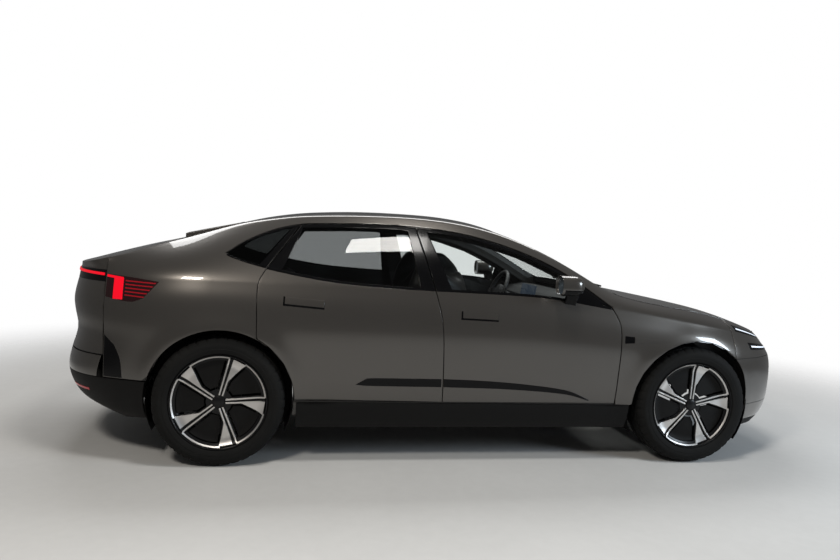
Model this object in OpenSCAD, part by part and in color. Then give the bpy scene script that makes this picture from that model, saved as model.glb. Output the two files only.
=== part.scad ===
// Coupe sport utility vehicle, five seats, electric, doors and lids that open.
// Millimetres. X points forward, Y to the left, Z up, and the ground is at Z 0.

/* [Body] */
// Length from the nose to the tail
body_length = 4840; // [4760:10:4920]
// Width over the wheel arches, without the mirrors
body_width = 2000; // [1960:2:2040]
// Height of the roof at its middle
body_height = 1544; // [1520:2:1570]
// Distance between the axles, in percent of the standard one
wheelbase_percent = 100; // [98.5:0.1:101]
// Distance from the front axle to the nose, in percent of the standard one
overhang_percent = 100; // [98:0.1:102]
// Outward swell of the body round each wheel arch
arch_swell = 12; // [0:1:20]
// Shut gap round doors, hood and tailgate
shut_gap = 7; // [6:0.5:9]
// Clearance between fixed pieces that seat on each other
seat_gap = 0.4; // [0.3:0.1:0.6]

/* [Panels] */
// Depth of a door below its window
door_depth = 95; // [80:1:110]
// Depth of a window frame
frame_depth = 42; // [36:1:50]
// Depth of the pillars and sills behind the doors
pillar_depth = 48; // [40:1:60]
// Taper of a door's edge towards the inside
door_draft = 12; // [8:1:14]
// Thickness of fenders and bumpers
skin = 24; // [16:1:30]
// Thickness of the roof and the lids
lid_skin = 28; // [22:1:34]
// Thickness of the side glass
glass = 5; // [4:0.5:7]
// Depth of the glass below the outer surface
glass_set = 5; // [3:0.5:8]

/* [Wheels] */
// Distance between the left and right wheel centres, in percent of the standard one
track_percent = 100; // [98.5:0.1:100.8]
// Radius of the tyre, in percent of the standard one
tyre_percent = 100; // [98.5:0.1:101]
// Width of the tyre
tyre_width = 255; // [235:1:265]
// Height of the tyre's side wall
sidewall = 102; // [98:1:118]
// Space between the tyre and the wheel arch
arch_gap = 46; // [42:1:56]
// Radius of the hub spindle
spindle_radius = 30; // [26:1:34]
// Running clearance on spindles and steering pins
run_gap = 0.05; // [0.02:0.01:0.1]
// Radius of a brake disc
disc_radius = 160; // [140:1:164]
// Number of spokes
spokes = 5; // [4:1:7]

/* [Inside] */
// Radius of the steering wheel
wheel_rim = 184; // [170:1:195]
// Distance between the middles of the front seats
seat_spacing = 760; // [700:2:800]
// Width of a front seat
seat_width = 520; // [480:2:560]

/* [Hidden] */
$fn = 64;
// Standard length, width, height, wheelbase, front overhang, track and tyre radius
standard = [4840, 2000, 1544, 2999, 860, 1696, 381];
kx = body_length / standard[0];
ky = body_width / standard[1];
kz = body_height / standard[2];
half_length = body_length / 2;
wheelbase = standard[3] * kx * wheelbase_percent / 100;
front_axle = half_length - standard[4] * kx * overhang_percent / 100;
rear_axle = front_axle - wheelbase;
track = standard[5] * ky * track_percent / 100;
wheel_y = track / 2;
tyre_radius = standard[6] * kz * tyre_percent / 100;
rim_radius = tyre_radius - sidewall;
arch_radius = tyre_radius + arch_gap;

// The body is drawn at design stations and then stretched to the real sizes.
// Stations of the nose, the front axle, the rear axle and the tail
stations = [2420, 1560, -1439, -2420];
front_rate = (half_length - front_axle) / (stations[0] - stations[1]);
mid_rate = wheelbase / (stations[1] - stations[2]);
rear_rate = (rear_axle + half_length) / (stations[2] - stations[3]);
function sx(d) = d > stations[1] ? front_axle + (d - stations[1]) * front_rate
    : d > stations[2] ? rear_axle + (d - stations[2]) * mid_rate
    : rear_axle + (d - stations[2]) * rear_rate;
function ux(x) = x > front_axle ? stations[1] + (x - front_axle) / front_rate
    : x > rear_axle ? stations[2] + (x - rear_axle) / mid_rate
    : stations[2] + (x - rear_axle) / rear_rate;
function real(p) = [sx(p[0]), p[1] * ky, p[2] * kz];
function profile(p) = [for (q = p) [sx(q[0]), q[1] * kz]];
// Box between design stations, given as ranges in x, y and z
module box(x, y, z) {
    translate([sx(x[0]), y[0] * ky, z[0] * kz])
        cube([sx(x[1]) - sx(x[0]), (y[1] - y[0]) * ky, (z[1] - z[0]) * kz]);
}
// Upright slice of a profile in x and z, centred on a place across the car
module slice(p, wide, y) {
    translate([0, y * ky, 0]) rotate([90, 0, 0]) linear_extrude(wide * ky, center = true)
        polygon(profile(p));
}

// Smooth curve through [place, value] pairs.
function step_of(p, x, i = 0) = (i >= len(p) - 2 || x < p[i + 1][0]) ? i : step_of(p, x, i + 1);
function rise(p, i) = let(a = max(i - 1, 0), b = min(i + 1, len(p) - 1))
    (p[b][1] - p[a][1]) / (p[b][0] - p[a][0]);
function curve(p, x) = let(
    i = step_of(p, x),
    h = p[i + 1][0] - p[i][0],
    t = (x - p[i][0]) / h)
    p[i][1] * (2 * t * t * t - 3 * t * t + 1) + rise(p, i) * h * (t * t * t - 2 * t * t + t)
    + p[i + 1][1] * (3 * t * t - 2 * t * t * t) + rise(p, i + 1) * h * (t * t * t - t * t);

// Height of the shoulder along the car
shoulder = [[-2420, 1070], [-1800, 1088], [-1245, 1086], [-800, 1082], [-211, 1072], [429, 1058],
    [967, 1000], [1400, 938], [1900, 850], [2420, 735]];
// Height of the ridge where the side turns over to the roof, hood and deck
ridge_z = [[-2420, 1088], [-2181, 1163], [-2012, 1213], [-1841, 1270], [-1642, 1331], [-1433, 1400],
    [-1306, 1434], [-1150, 1462], [-1000, 1483], [-700, 1502], [-400, 1508], [-200, 1503], [0, 1485],
    [200, 1448], [400, 1388], [610, 1300], [820, 1190], [930, 1126], [1020, 1086], [1184, 1045],
    [1390, 1013], [1650, 976], [1870, 932], [2040, 884], [2200, 826], [2420, 715]];
// Half width of the same ridge
ridge_y = [[-2420, 760], [-2181, 742], [-1900, 692], [-1600, 650], [-1300, 628], [-1000, 628], [-600, 636],
    [-200, 645], [0, 655], [200, 672], [400, 698], [610, 731], [820, 768], [930, 786], [1020, 797],
    [1184, 800], [1390, 792], [1650, 774], [1870, 748], [2040, 712], [2200, 652], [2420, 480]];
// Height of the middle of the hood, windscreen, roof and deck
spine = [[-2420, 1122], [-2300, 1157], [-2150, 1204], [-1950, 1262], [-1746, 1314], [-1600, 1360],
    [-1450, 1406], [-1346, 1438], [-1200, 1476], [-1000, 1511], [-800, 1530], [-600, 1541], [-400, 1544],
    [-150, 1540], [0, 1530], [165, 1507], [300, 1470], [430, 1420], [610, 1342], [800, 1249], [1000, 1150],
    [1120, 1096], [1170, 1086], [1300, 1068], [1535, 1031], [1775, 990], [2000, 944], [2200, 870],
    [2340, 786], [2420, 715]];
// Half width of the side from the sill, 0, to the shoulder, 1
flank = [[0, 880], [0.11, 922], [0.28, 948], [0.48, 966], [0.7, 983], [0.87, 972], [1, 936]];
flank_foot = 205;
// Reach of the nose and of the tail at each height
nose = [[180, 2330], [300, 2400], [400, 2420], [550, 2416], [690, 2396], [760, 2356], [835, 2288],
    [900, 2190],
    [1000, 2010]];
tail = [[180, 2010], [235, 2160], [320, 2325], [400, 2390], [500, 2420], [600, 2404], [700, 2374],
    [760, 2366], [850, 2384],
    [920, 2392], [1000, 2380], [1060, 2366], [1130, 2352], [1200, 2260], [1300, 2120]];
nose_start = 1500;
tail_start = 1500;
nose_power = 4;
tail_power = 3.5;
lean = -0.45;

function swell(x, z) = let(
    near = abs(x - stations[1]) < abs(x - stations[2]) ? front_axle : rear_axle,
    r = norm([sx(x) - near, z * kz - tyre_radius]))
    arch_swell / ky * exp(-pow((r - arch_radius) / 70, 2));
function taper(x, z) = x > nose_start
    ? pow(max(0, 1 - pow((x - nose_start) / (curve(nose, z) - nose_start), 2)), 1 / nose_power)
    : x < -tail_start
    ? pow(max(0, 1 - pow((x + tail_start) / (curve(tail, z) - tail_start), 2)), 1 / tail_power)
    : 1;
function side_y(x, z) = let(zb = curve(shoulder, x))
    z <= zb ? curve(flank, (z - flank_foot) / (zb - flank_foot)) * taper(x, z) + swell(x, z)
    : let(
        ze = curve(ridge_z, x),
        ye = curve(ridge_y, x),
        yb = curve(flank, 1) * taper(x, zb) + swell(x, zb),
        t = (z - zb) / (ze - zb),
        m = lean * (ze - zb))
        yb + m * t + (ye - yb - m) * t * t;
function top_z(x, y) = let(zc = curve(spine, x), ze = curve(ridge_z, x), ye = curve(ridge_y, x))
    zc - (zc - ze) * pow(abs(y) / ye, 2);

// Lines and grids.
function run(p) = [for (i = 0, s = 0; i < len(p); s = s + (i < len(p) - 1 ? norm(p[i + 1] - p[i]) : 0),
    i = i + 1) s];
function piece(c, s, i = 0) = (i >= len(c) - 2 || s < c[i + 1]) ? i : piece(c, s, i + 1);
function spaced(p, n) = let(c = run(p), total = c[len(p) - 1])
    [for (k = [0 : n - 1]) let(s = total * k / (n - 1), i = piece(c, s), t = (s - c[i]) / (c[i + 1] - c[i]))
        p[i] + (p[i + 1] - p[i]) * t];
function normal(p, i) = let(
    a = p[max(i - 1, 0)],
    b = p[min(i + 1, len(p) - 1)],
    d = b - a) [-d[1], d[0]] / norm(d);
function shifted(p, d) = [for (i = [0 : len(p) - 1]) p[i] + normal(p, i) * d];
function tail_of(p) = len(p) - 1;
function corner(p, a, b, d) = p + (a + b) * d / (1 + a * b);
function ended(p, a, b) = [for (i = [0 : len(p) - 1]) i == 0 ? a : i == len(p) - 1 ? b : p[i]];
// Four edge lines moved outward together, with their corners kept closed
function grow(q, d) = let(
    low_left = corner(q[0][0], -normal(q[0], 0), normal(q[3], 0), d),
    low_right = corner(q[1][0], -normal(q[0], tail_of(q[0])), -normal(q[1], 0), d),
    high_right = corner(q[2][tail_of(q[2])], normal(q[2], tail_of(q[2])), -normal(q[1], tail_of(q[1])), d),
    high_left = corner(q[2][0], normal(q[2], 0), normal(q[3], tail_of(q[3])), d))
    [ended(shifted(q[0], -d), low_left, low_right), ended(shifted(q[1], -d), low_right, high_right),
        ended(shifted(q[2], d), high_left, high_right), ended(shifted(q[3], d), low_left, high_left)];
// Grid filled in between a bottom, right, top and left line
function fill(q, n, m) = let(
    b = spaced(q[0], n),
    r = spaced(q[1], m),
    t = spaced(q[2], n),
    l = spaced(q[3], m))
    [for (j = [0 : m - 1]) [for (i = [0 : n - 1]) let(u = i / (n - 1), v = j / (m - 1))
        (1 - v) * b[i] + v * t[i] + (1 - u) * l[j] + u * r[j]
        - ((1 - u) * (1 - v) * b[0] + u * (1 - v) * b[n - 1] + (1 - u) * v * t[0] + u * v * t[n - 1])]];
function flat(rows) = [for (r = rows) each r];
function halves(q) = [[q[0], q[1], q[2]], [q[0], q[2], q[3]]];

// Closed solid between two grids of the same size, the outer one seen from outside with its rows upward
module between(outer, inner) {
    m = len(outer);
    n = len(outer[0]);
    k = m * n;
    out_quads = [for (j = [0 : m - 2]) for (i = [0 : n - 2])
        [j * n + i, (j + 1) * n + i, (j + 1) * n + i + 1, j * n + i + 1]];
    in_quads = [for (q = out_quads) [q[3] + k, q[2] + k, q[1] + k, q[0] + k]];
    low = [for (i = [0 : n - 2]) [i, i + 1, k + i + 1, k + i]];
    high = [for (i = [0 : n - 2]) let(a = (m - 1) * n + i) [a + 1, a, k + a, k + a + 1]];
    left = [for (j = [0 : m - 2]) let(a = j * n) [a + n, a, k + a, k + a + n]];
    right = [for (j = [0 : m - 2]) let(a = j * n + n - 1) [a, a + n, k + a + n, k + a]];
    quads = concat(out_quads, in_quads, low, high, left, right);
    polyhedron(flat(concat(outer, inner)), flat([for (q = quads) halves(q)]), convexity = 8);
}

// Points of the right side under a grid of [x, z], set in by a depth
function on_side(g, d) = [for (r = g) [for (p = r) real([p[0], -side_y(p[0], p[1]), p[1]]) + [0, d, 0]]];
function on_plane(g, y) = [for (r = g) [for (p = r) real([p[0], y, p[1]])]];
function on_top(g, d) = [for (r = g) [for (p = r) real([p[0], p[1], top_z(p[0], p[1])]) - [0, 0, d]]];
function door_in(p) = let(t = min(1, max(0, (p[1] - curve(shoulder, p[0]) + 110) / 150)))
    door_depth + (frame_depth - door_depth) * t;
function on_door(g, extra) = [for (r = g) [for (p = r)
    real([p[0], -side_y(p[0], p[1]), p[1]]) + [0, door_in(p) + extra, 0]]];

function back(p) = [for (i = [len(p) - 1 : -1 : 0]) p[i]];
function open_end(p) = [for (i = [0 : len(p) - 2]) p[i]];
function loop(q, n, m) = concat(open_end(spaced(q[0], n)), open_end(spaced(q[1], m)),
    open_end(back(spaced(q[2], n))),
    open_end(back(spaced(q[3], m))));
module through(q, n, m) {
    translate([0, -300 * ky, 0]) rotate([90, 0, 0]) linear_extrude(900 * ky)
        polygon([for (p = loop(q, n, m)) [sx(p[0]), p[1] * kz]]);
}

module both() {
    children();
    mirror([0, 1, 0]) children();
}
module on_left() {
    mirror([0, 1, 0]) children();
}

// Shut lines and window lines of the right side, as [x, z].
b_post = [[-112, 390], [-120, 620], [-140, 880], [-184, 1070], [-282, 1432]];
door_front = [[1018, 390], [1022, 520], [1022, 830], [1006, 922], [966, 1003]];
hinge_x = door_front[1][0];
roof_line = [[-1432, 1243], [-1365, 1296], [-1244, 1360], [-1112, 1410], [-1000, 1434], [-700, 1450],
    [-400, 1455],
    [-282, 1450], [-100, 1437], [130, 1400], [423, 1316], [695, 1194], [966, 1003]];
belt = [[-1437, 1236], [-1348, 1203], [-1202, 1170], [-1027, 1137], [-792, 1103], [-505, 1085],
    [-211, 1076],
    [90, 1071], [429, 1062], [619, 1047], [966, 997]];
function pick(p, a, b) = [for (q = p) if (q[0] >= a && q[0] <= b) q];
function arch(axle, a, b, n, r) = [for (i = [0 : n]) let(w = a + (b - a) * i / n)
    [ux(axle + r * cos(w)), (tyre_radius + r * sin(w)) / kz]];
rear_arch_edge = arch(rear_axle, 8, 62, 6, arch_radius + 4);
rear_shut = concat([[ux(rear_axle + arch_radius + 4), 390]], rear_arch_edge,
    [[-1240, 860], [-1240, 1078], [-1196, 1167], [-1000, 1434]]);

front_door_lines = [
    [[-112, 390], [1018, 390]],
    door_front,
    concat([[-282, 1432]], [for (p = pick(roof_line, -281, 966)) p]),
    b_post];
rear_door_lines = [
    [[ux(rear_axle + arch_radius + 4), 390], [-112, 390]],
    b_post,
    concat(pick(roof_line, -1000, -283), [[-282, 1432]]),
    rear_shut];
function door_shape(q) = grow(q, -shut_gap / 2);
function door_hole(q) = grow(q, shut_gap / 2);
front_glass_lines = [
    concat([[-84, 1080]], pick(belt, -80, 700), [[905, 1014]]),
    [[905, 1014], [893, 1030]],
    [[-214, 1424], [-60, 1412], [130, 1378], [423, 1292], [695, 1166], [893, 1030]],
    [[-84, 1080], [-214, 1424]]];
rear_glass_lines = [
    concat([[-1106, 1160]], pick(belt, -1030, -300), [[-278, 1082]]),
    [[-278, 1082], [-338, 1426]],
    [[-990, 1412], [-700, 1428], [-400, 1432], [-338, 1426]],
    [[-1106, 1160], [-990, 1412]]];
quarter_glass_lines = [
    [[-1424, 1238], [-1348, 1210], [-1240, 1184]],
    [[-1240, 1184], [-1046, 1412]],
    [[-1414, 1252], [-1365, 1288], [-1244, 1348], [-1112, 1396], [-1046, 1412]],
    [[-1424, 1238], [-1414, 1252]]];
sill_lines = [
    [[-995, 216], [1118, 216]],
    [[1118, 216], [1118, 378]],
    [[-995, 378], [1118, 378]],
    [[-995, 216], [-995, 378]]];
lamp_lines = [
    [[-2101, 962], [-1945, 944], [-1874, 969]],
    [[-1874, 969], [-1790, 1066]],
    [[-2101, 1092], [-1960, 1084], [-1790, 1066]],
    [[-2101, 962], [-2101, 1092]]];

// Flush handles, the strip low on the doors and the vent behind the front wheel
front_handle_lines = [
    [[-18, 916], [206, 909]],
    [[206, 909], [208, 947]],
    [[-16, 957], [208, 947]],
    [[-18, 916], [-16, 957]]];
rear_handle_lines = [
    [[-1084, 969], [-856, 952]],
    [[-856, 952], [-854, 992]],
    [[-1082, 1011], [-854, 992]],
    [[-1084, 969], [-1082, 1011]]];
front_strip_lines = [
    [[-96, 490], [300, 480], [700, 452]],
    [[700, 452], [722, 474]],
    [[-98, 534], [110, 526], [400, 506], [722, 474]],
    [[-96, 490], [-98, 534]]];
rear_strip_lines = [
    [[-258, 491], [-140, 490]],
    [[-140, 490], [-142, 535]],
    [[-550, 536], [-142, 535]],
    [[-258, 491], [-550, 536]]];
vent_lines = [
    [[1046, 782], [1330, 799]],
    [[1330, 799], [1332, 806]],
    [[1046, 830], [1332, 806]],
    [[1046, 782], [1046, 830]]];
handle_gap = 4;
handle_depth = 16;
strip_stand = 2;
module inlay(q, n, out, in) {
    between(on_side(fill(q, n, 2), -out), on_side(fill(q, n, 2), in));
}
module recess(q, d) {
    between(on_plane(fill(grow(q, handle_gap), 3, 2), -1200), on_side(fill(grow(q, handle_gap), 3, 2), d));
}

lamp_depth = 50;
sill_depth = 60;
fender_front = 47;
function ridge(a, b, n, drop) = [for (i = [0 : n]) let(x = a + (b - a) * i / n) [x,
    curve(ridge_z, x) - drop]];
fender_tip = arch(front_axle, fender_front, fender_front, 1, arch_radius)[0];
fender_rear = hinge_x + shut_gap;
fender_lines = [
    concat([[fender_rear, tyre_radius / kz]], arch(front_axle, 180, fender_front, 14, arch_radius)),
    [fender_tip, [fender_tip[0], curve(ridge_z, fender_tip[0]) - 3]],
    ridge(fender_rear + 6, fender_tip[0], 8, 3),
    [[fender_rear, tyre_radius / kz], [fender_rear, 830], [fender_rear + 6, 930],
        [fender_rear + 6, curve(ridge_z, fender_rear + 6) - 3]]];
// What the fender covers on the hinge pillar
fender_cut = [
    [[hinge_x, 300], [1100, 300]],
    [[1100, 300], [1100, 1110]],
    [[fender_rear + 3, 1110], [1100, 1110]],
    [[hinge_x, 300], [hinge_x, 830], [fender_rear + 3, 930], [fender_rear + 3, 1110]]];

// Pads where a panel rests on the shell, one on each, with the seat gap between them.
pad_wide = 18;
pad_high = 44;
pad_stand = 8;
pad_air = 4;
front_pad = [-96, 705];
rear_pad = [-1211, 955];
fender_pads = [[1046, 560], [1046, 760]];
fender_air = 40;
function skin_y(p, d) = d - side_y(p[0], p[1]) * ky;
module block(p, y0, y1) {
    translate([sx(p[0]) - pad_wide / 2, y0, p[1] * kz - pad_high / 2]) cube([pad_wide, y1 - y0, pad_high]);
}
module door_pad(p) {
    block(p, skin_y(p, door_in(p) - 20), skin_y(p, door_in(p) + pad_stand));
}
// Flat seat cut into the shell for a pad, with air round it
module pad_seat(p, d) {
    translate([sx(p[0]) - pad_wide / 2 - pad_air, -body_width, p[1] * kz - pad_high / 2 - pad_air])
        cube([pad_wide + 2 * pad_air, body_width + skin_y(p, d), pad_high + 2 * pad_air]);
}

// Doors.
module door_solid(q, window, handle) {
    difference() {
        between(on_side(fill(door_shape(q), 12, 11), 0),
            on_door(fill(grow(q, -shut_gap / 2 - door_draft), 12, 11), 0));
        through(window, 9, 5);
        recess(handle, handle_depth);
    }
    inlay(handle, 3, 0, handle_depth + 4);
}
module door_fr() {
    color([0.3, 0.29, 0.28]) union() {
        door_solid(front_door_lines, front_glass_lines, front_handle_lines);
        inlay(front_strip_lines, 5, strip_stand, skin);
        door_pad(front_pad);
    }
}
module door_rr() {
    color([0.3, 0.29, 0.28]) union() {
        door_solid(rear_door_lines, rear_glass_lines, rear_handle_lines);
        inlay(rear_strip_lines, 3, strip_stand, skin);
        door_pad(rear_pad);
    }
}
module pane(q, n = 9, m = 5) {
    g = fill(grow(q, -2 * seat_gap), n, m);
    between(on_side(g, glass_set), on_side(g, glass_set + glass));
}

// Side of the body shell: sill, pillars, roof rail and rear quarter.
side_stations = [for (i = [0 : 24]) -2100 + i * 3160 / 24];
side_rows = 10;
side_foot = 300;
rail_in = 75;
function side_depth(x, z) = door_in([x, z]) + pillar_depth;
function side_out(x, j) = let(ze = curve(ridge_z, x), ye = curve(ridge_y, x))
    j <= side_rows ? let(z = side_foot + (ze - 25 - side_foot) * j / side_rows) [x, -side_y(x, z), z]
    : j == side_rows + 1 ? [x, -ye, ze] : [x, -(ye - 85), top_z(x, ye - 85)];
function side_in(x, j) = let(ze = curve(ridge_z, x), ye = curve(ridge_y, x))
    j < side_rows ? let(z = side_foot + (ze - 90 - side_foot) * j / side_rows)
        [x, -max(side_y(x, z) - side_depth(x, z), ye - rail_in), z]
    : j == side_rows ? [x, -(ye - rail_in), ze - 90]
    : j == side_rows + 1 ? [x, -(ye - rail_in - 4), ze - 62] : [x, -(ye - 85), top_z(x, ye - 85) - 45];
module body_side_right() {
    color([0.3, 0.29, 0.28]) union() {
        difference() {
            between(
                [for (j = [0 : side_rows + 2]) [for (x = side_stations) real(side_out(x, j))]],
                [for (j = [0 : side_rows + 2]) [for (x = side_stations) real(side_in(x, j))]]);
            for (q = [front_door_lines, rear_door_lines]) {
                between(on_plane(fill(door_hole(q), 13, 9), -1200),
                    on_door(fill(door_hole(q), 13, 9), shut_gap));
                through(grow(q, -42), 13, 9);
            }
            through(quarter_glass_lines, 7, 4);
            between(on_plane(fill(grow(sill_lines, seat_gap), 9, 3), -1200),
                on_side(fill(grow(sill_lines, seat_gap), 9, 3), sill_depth));
            between(on_plane(fill(grow(lamp_lines, seat_gap), 7, 3), -1200),
                on_side(fill(grow(lamp_lines, seat_gap), 7, 3), lamp_depth));
            between(on_plane(fill(fender_cut, 2, 8), -1200),
                on_side(fill(fender_cut, 2, 8), skin + fender_air));
            for (p = [front_pad, rear_pad]) pad_seat(p, door_in(p) + pad_stand + seat_gap);
            for (p = fender_pads) pad_seat(p, skin + fender_air - 4 + seat_gap);
            translate([rear_axle, -300 * ky, tyre_radius]) rotate([90, 0, 0])
                cylinder(r = arch_radius, h = 900 * ky);
            box([-2500, -1850], [-1100, -200], [0, 496]);
        }
        for (p = fender_pads)
            block(p, skin_y(p, skin + fender_air - 4 + seat_gap), skin_y(p, skin + fender_air + 40));
        translate([sx(-880), -840 * ky, floor_z + 4])
            cube([sx(900) - sx(-880), 840 * ky - floor_half - seat_gap, 40]);
    }
}

module body_side_left() {
    on_left() body_side_right();
}
module door_fl() {
    on_left() door_fr();
}
module door_rl() {
    on_left() door_rr();
}
module glass_fr() {
    color([0.1, 0.12, 0.13]) pane(front_glass_lines);
}
module glass_rr() {
    color([0.05, 0.05, 0.06]) pane(rear_glass_lines);
}
module glass_fl() {
    on_left() glass_fr();
}
module glass_rl() {
    on_left() glass_rr();
}
module quarter_glass() {
    color([0.05, 0.05, 0.06]) both() pane(quarter_glass_lines, 7, 4);
}
module sill_trims() {
    color([0.06, 0.06, 0.06]) both()
        between(on_side(fill(sill_lines, 9, 3), 0), on_side(fill(sill_lines, 9, 3), sill_depth - seat_gap));
}
module tail_lamps() {
    color([0.5, 0.03, 0.03]) both()
        between(on_side(fill(lamp_lines, 7, 3), 0), on_side(fill(lamp_lines, 7, 3), lamp_depth - seat_gap));
}

// Front fender, with its inner face turned down towards the hood.
function fender_in(g) = [for (j = [0 : len(g) - 1]) [for (p = g[j]) let(v = pow(j / (len(g) - 1), 3))
    real([p[0], -side_y(p[0], p[1]), p[1]]) + [0, skin * (1 - v) + 3 * v, -16 * v]]];
module fenders() {
    color([0.3, 0.29, 0.28]) both() {
        g = fill(fender_lines, 11, 11);
        union() {
            between(on_side(g, 0), fender_in(g));
            for (p = fender_pads) block(p, skin_y(p, skin / 2), skin_y(p, skin + fender_air - 4));
            inlay(vent_lines, 4, strip_stand, skin / 2);
        }
    }
}

// Roof, windscreen, hood and deck, as grids of [x, y] with x along the rows.
rim_in = 85;
function edge_y(x, d) = curve(ridge_y, x) - d;
function strip(a, b, n, d) = [for (i = [0 : n]) let(x = a + (b - a) * i / n) [x, -edge_y(x, d)]];
function mirrored(p) = [for (q = p) [q[0], -q[1]]];
function across(xe, xc, y, n) = [for (i = [0 : n]) let(t = 2 * i / n - 1) [xc + (xe - xc) * t * t, y * t]];
function top_lines(a, b, ac, bc, d) = [
    strip(a, b, 8, d),
    across(b, bc, edge_y(b, d), 12),
    mirrored(strip(a, b, 8, d)),
    across(a, ac, edge_y(a, d), 12)];
// Stations of the roof's rear, the screen's top and foot, and the hood's ends, at the side and in the
// middle
lid_stations = [-1360, 258, 1004, 1118, 1068, 1172, 2140, 2330];
roof_rear = lid_stations[0];
screen_top = lid_stations[1];
screen_foot = lid_stations[2];
screen_foot_mid = lid_stations[3];
hood_rear = lid_stations[4];
hood_rear_mid = lid_stations[5];
hood_front = lid_stations[6];
hood_front_mid = lid_stations[7];
module lid(q, n, m, thick) {
    g = fill(q, n, m);
    between(on_top(g, 0), on_top(g, thick));
}
module roof_panel() {
    color([0.03, 0.03, 0.035])
        lid(top_lines(roof_rear, screen_top - 4, roof_rear, screen_top + 26, rim_in + 2), 11, 9, lid_skin);
}
module windshield() {
    color([0.1, 0.12, 0.13])
        lid(top_lines(screen_top, screen_foot, screen_top + 30.4, screen_foot_mid, rim_in + 2.6), 6, 9,
            12);
}
module cowl() {
    color([0.03, 0.03, 0.03]) translate([0, 0, -6])
        lid(top_lines(screen_foot + 0.6, hood_rear - 9, screen_foot_mid + 0.6, hood_rear_mid - 8,
            rim_in + 4),
            3, 9, 40);
}
hood_pin_x = sx(1060);
hood_pin_z = 1090 * kz;
module hood() {
    color([0.3, 0.29, 0.28]) union() {
        lid(top_lines(hood_rear, hood_front, hood_rear_mid, hood_front_mid, 8), 12, 12, lid_skin);
        both() translate([hood_pin_x + seat_gap, -768 * ky, 1040 * kz]) cube([40, 44, 24]);
    }
}

// Nose and tail, as bands round the ends. The place across the band runs from -1 on the right to 1 on the
// left.
function nose_x(t, z) = nose_start + (curve(nose, z) - nose_start) * sqrt(1 - pow(abs(t), nose_power));
function nose_at(t, z) = let(x = nose_x(t, z)) [x, sign(t) * side_y(x, z), z];
function tail_x(t, z) = -tail_start - (curve(tail, z) - tail_start) * sqrt(1 - pow(abs(t), tail_power));
tail_shoulder = 1079;
function tail_half(z) = z <= tail_shoulder ? curve(flank, (z - flank_foot) / (tail_shoulder - flank_foot))
    : curve(flank, 1) - 0.55 * (z - tail_shoulder);
function tail_at(t, z) = let(x = tail_x(t, z)) [x, t * tail_half(z) + sign(t) * swell(x, z), z];
function inward(p, a, b, d) = let(v = b - a, n = [-v[1], v[0]] / norm([v[0], v[1]])) p + [n[0] * d,
    n[1] * d, 0];
function end_place(x, z, start, list, power) = pow(1 - pow((abs(x) - start) / (curve(list, z) - start), 2),
    1 / power);
spread = [-1, -0.97, -0.93, -0.88, -0.81, -0.72, -0.6, -0.44, -0.25, 0, 0.25, 0.44, 0.6, 0.72, 0.81, 0.88,
    0.93, 0.97, 1];
function arch_x(axle, z, r) = sqrt(max(0, r * r - pow(z * kz - tyre_radius, 2)));
bumper_low = 205;
bumper_high = fender_tip[1] - 1;
function nose_end(z) = end_place(ux(front_axle + arch_x(front_axle, z, arch_radius + 2)), z, nose_start,
    nose,
    nose_power);
function nose_row(z, d) = [for (s = spread) let(t = s * nose_end(z), e = 0.02)
    inward(real(nose_at(t, z)), real(nose_at(t - e, z)), real(nose_at(t + e, z)), d)];
bumper_rows = [for (j = [0 : 6]) bumper_low + (bumper_high - bumper_low) * j / 6];
// Half width, foot and top of the low air intake, and the heights of its slats
intake = [520, 262, 372];
slats = [282, 311, 340];
slat_places = [for (i = [0 : 8]) 0.6 * (i / 4 - 1)];
function slat_row(z, d) = [for (t = slat_places)
    inward(real(nose_at(t, z)), real(nose_at(t - 0.02, z)), real(nose_at(t + 0.02, z)), d)];
module front_bumper() {
    color([0.3, 0.29, 0.28]) union() {
        difference() {
            between([for (z = bumper_rows) nose_row(z, 0)], [for (z = bumper_rows) nose_row(z, skin)]);
            box([2200, 2500], [-intake[0], intake[0]], [intake[1], intake[2]]);
        }
        for (z = slats) between([slat_row(z, 6), slat_row(z + 12, 6)],
            [slat_row(z, 18), slat_row(z + 12, 18)]);
        both() translate([nose_rail + seat_gap, -450 * ky, 470 * kz])
            cube([sx(2380) - nose_rail - seat_gap, 60, 60]);
    }
}
// Headlamps and the panel between them close the nose up to the hood.
lamp_split = 0.62;
function hood_edge(t) = let(k = t / lamp_split)
    [hood_front_mid + 8 + (hood_front - hood_front_mid) * k * k, edge_y(hood_front, 8) * k];
function crown_at(p, d) = real([p[0], p[1], top_z(p[0], p[1])]) - [0, 0, d];
function blend_rows(low, high, d, n) = [for (j = [0 : n]) [for (i = [0 : len(low) - 1]) let(v = j / n)
    low[i] * (1 - v) + high[i] * v + [0, 0, d * 4 * v * (1 - v)]]];
mid_places = [for (i = [0 : 10]) lamp_split * 0.993 * (i / 5 - 1)];
nose_top = bumper_high + seat_gap;
function mid_low(d) = [for (t = mid_places) let(k = t * 0.99)
    inward(real(nose_at(k, nose_top)), real(nose_at(k - 0.02, nose_top)), real(nose_at(k + 0.02, nose_top)),
        d)];
module nose_panel() {
    color([0.3, 0.29, 0.28])
        between(blend_rows(mid_low(0), [for (t = mid_places) crown_at(hood_edge(t), 0)], 10, 4),
            blend_rows(mid_low(skin), [for (t = mid_places) crown_at(hood_edge(t), skin)], 10, 4));
}
lamp_back = fender_tip[0] + 4;
lamp_end = end_place(lamp_back, nose_top, nose_start, nose, nose_power);
lamp_places = [for (i = [0 : 6]) -lamp_end + (lamp_end - lamp_split - 0.004) * i / 6];
lamp_low = [for (t = lamp_places) real(nose_at(t, nose_top))];
lamp_high = [for (i = [0 : 6]) let(x = lamp_back + (hood_front + 4 - lamp_back) * i / 6)
    real([x, -edge_y(x, i == 6 ? 2 : 0), curve(ridge_z, x) - 3])];
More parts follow.
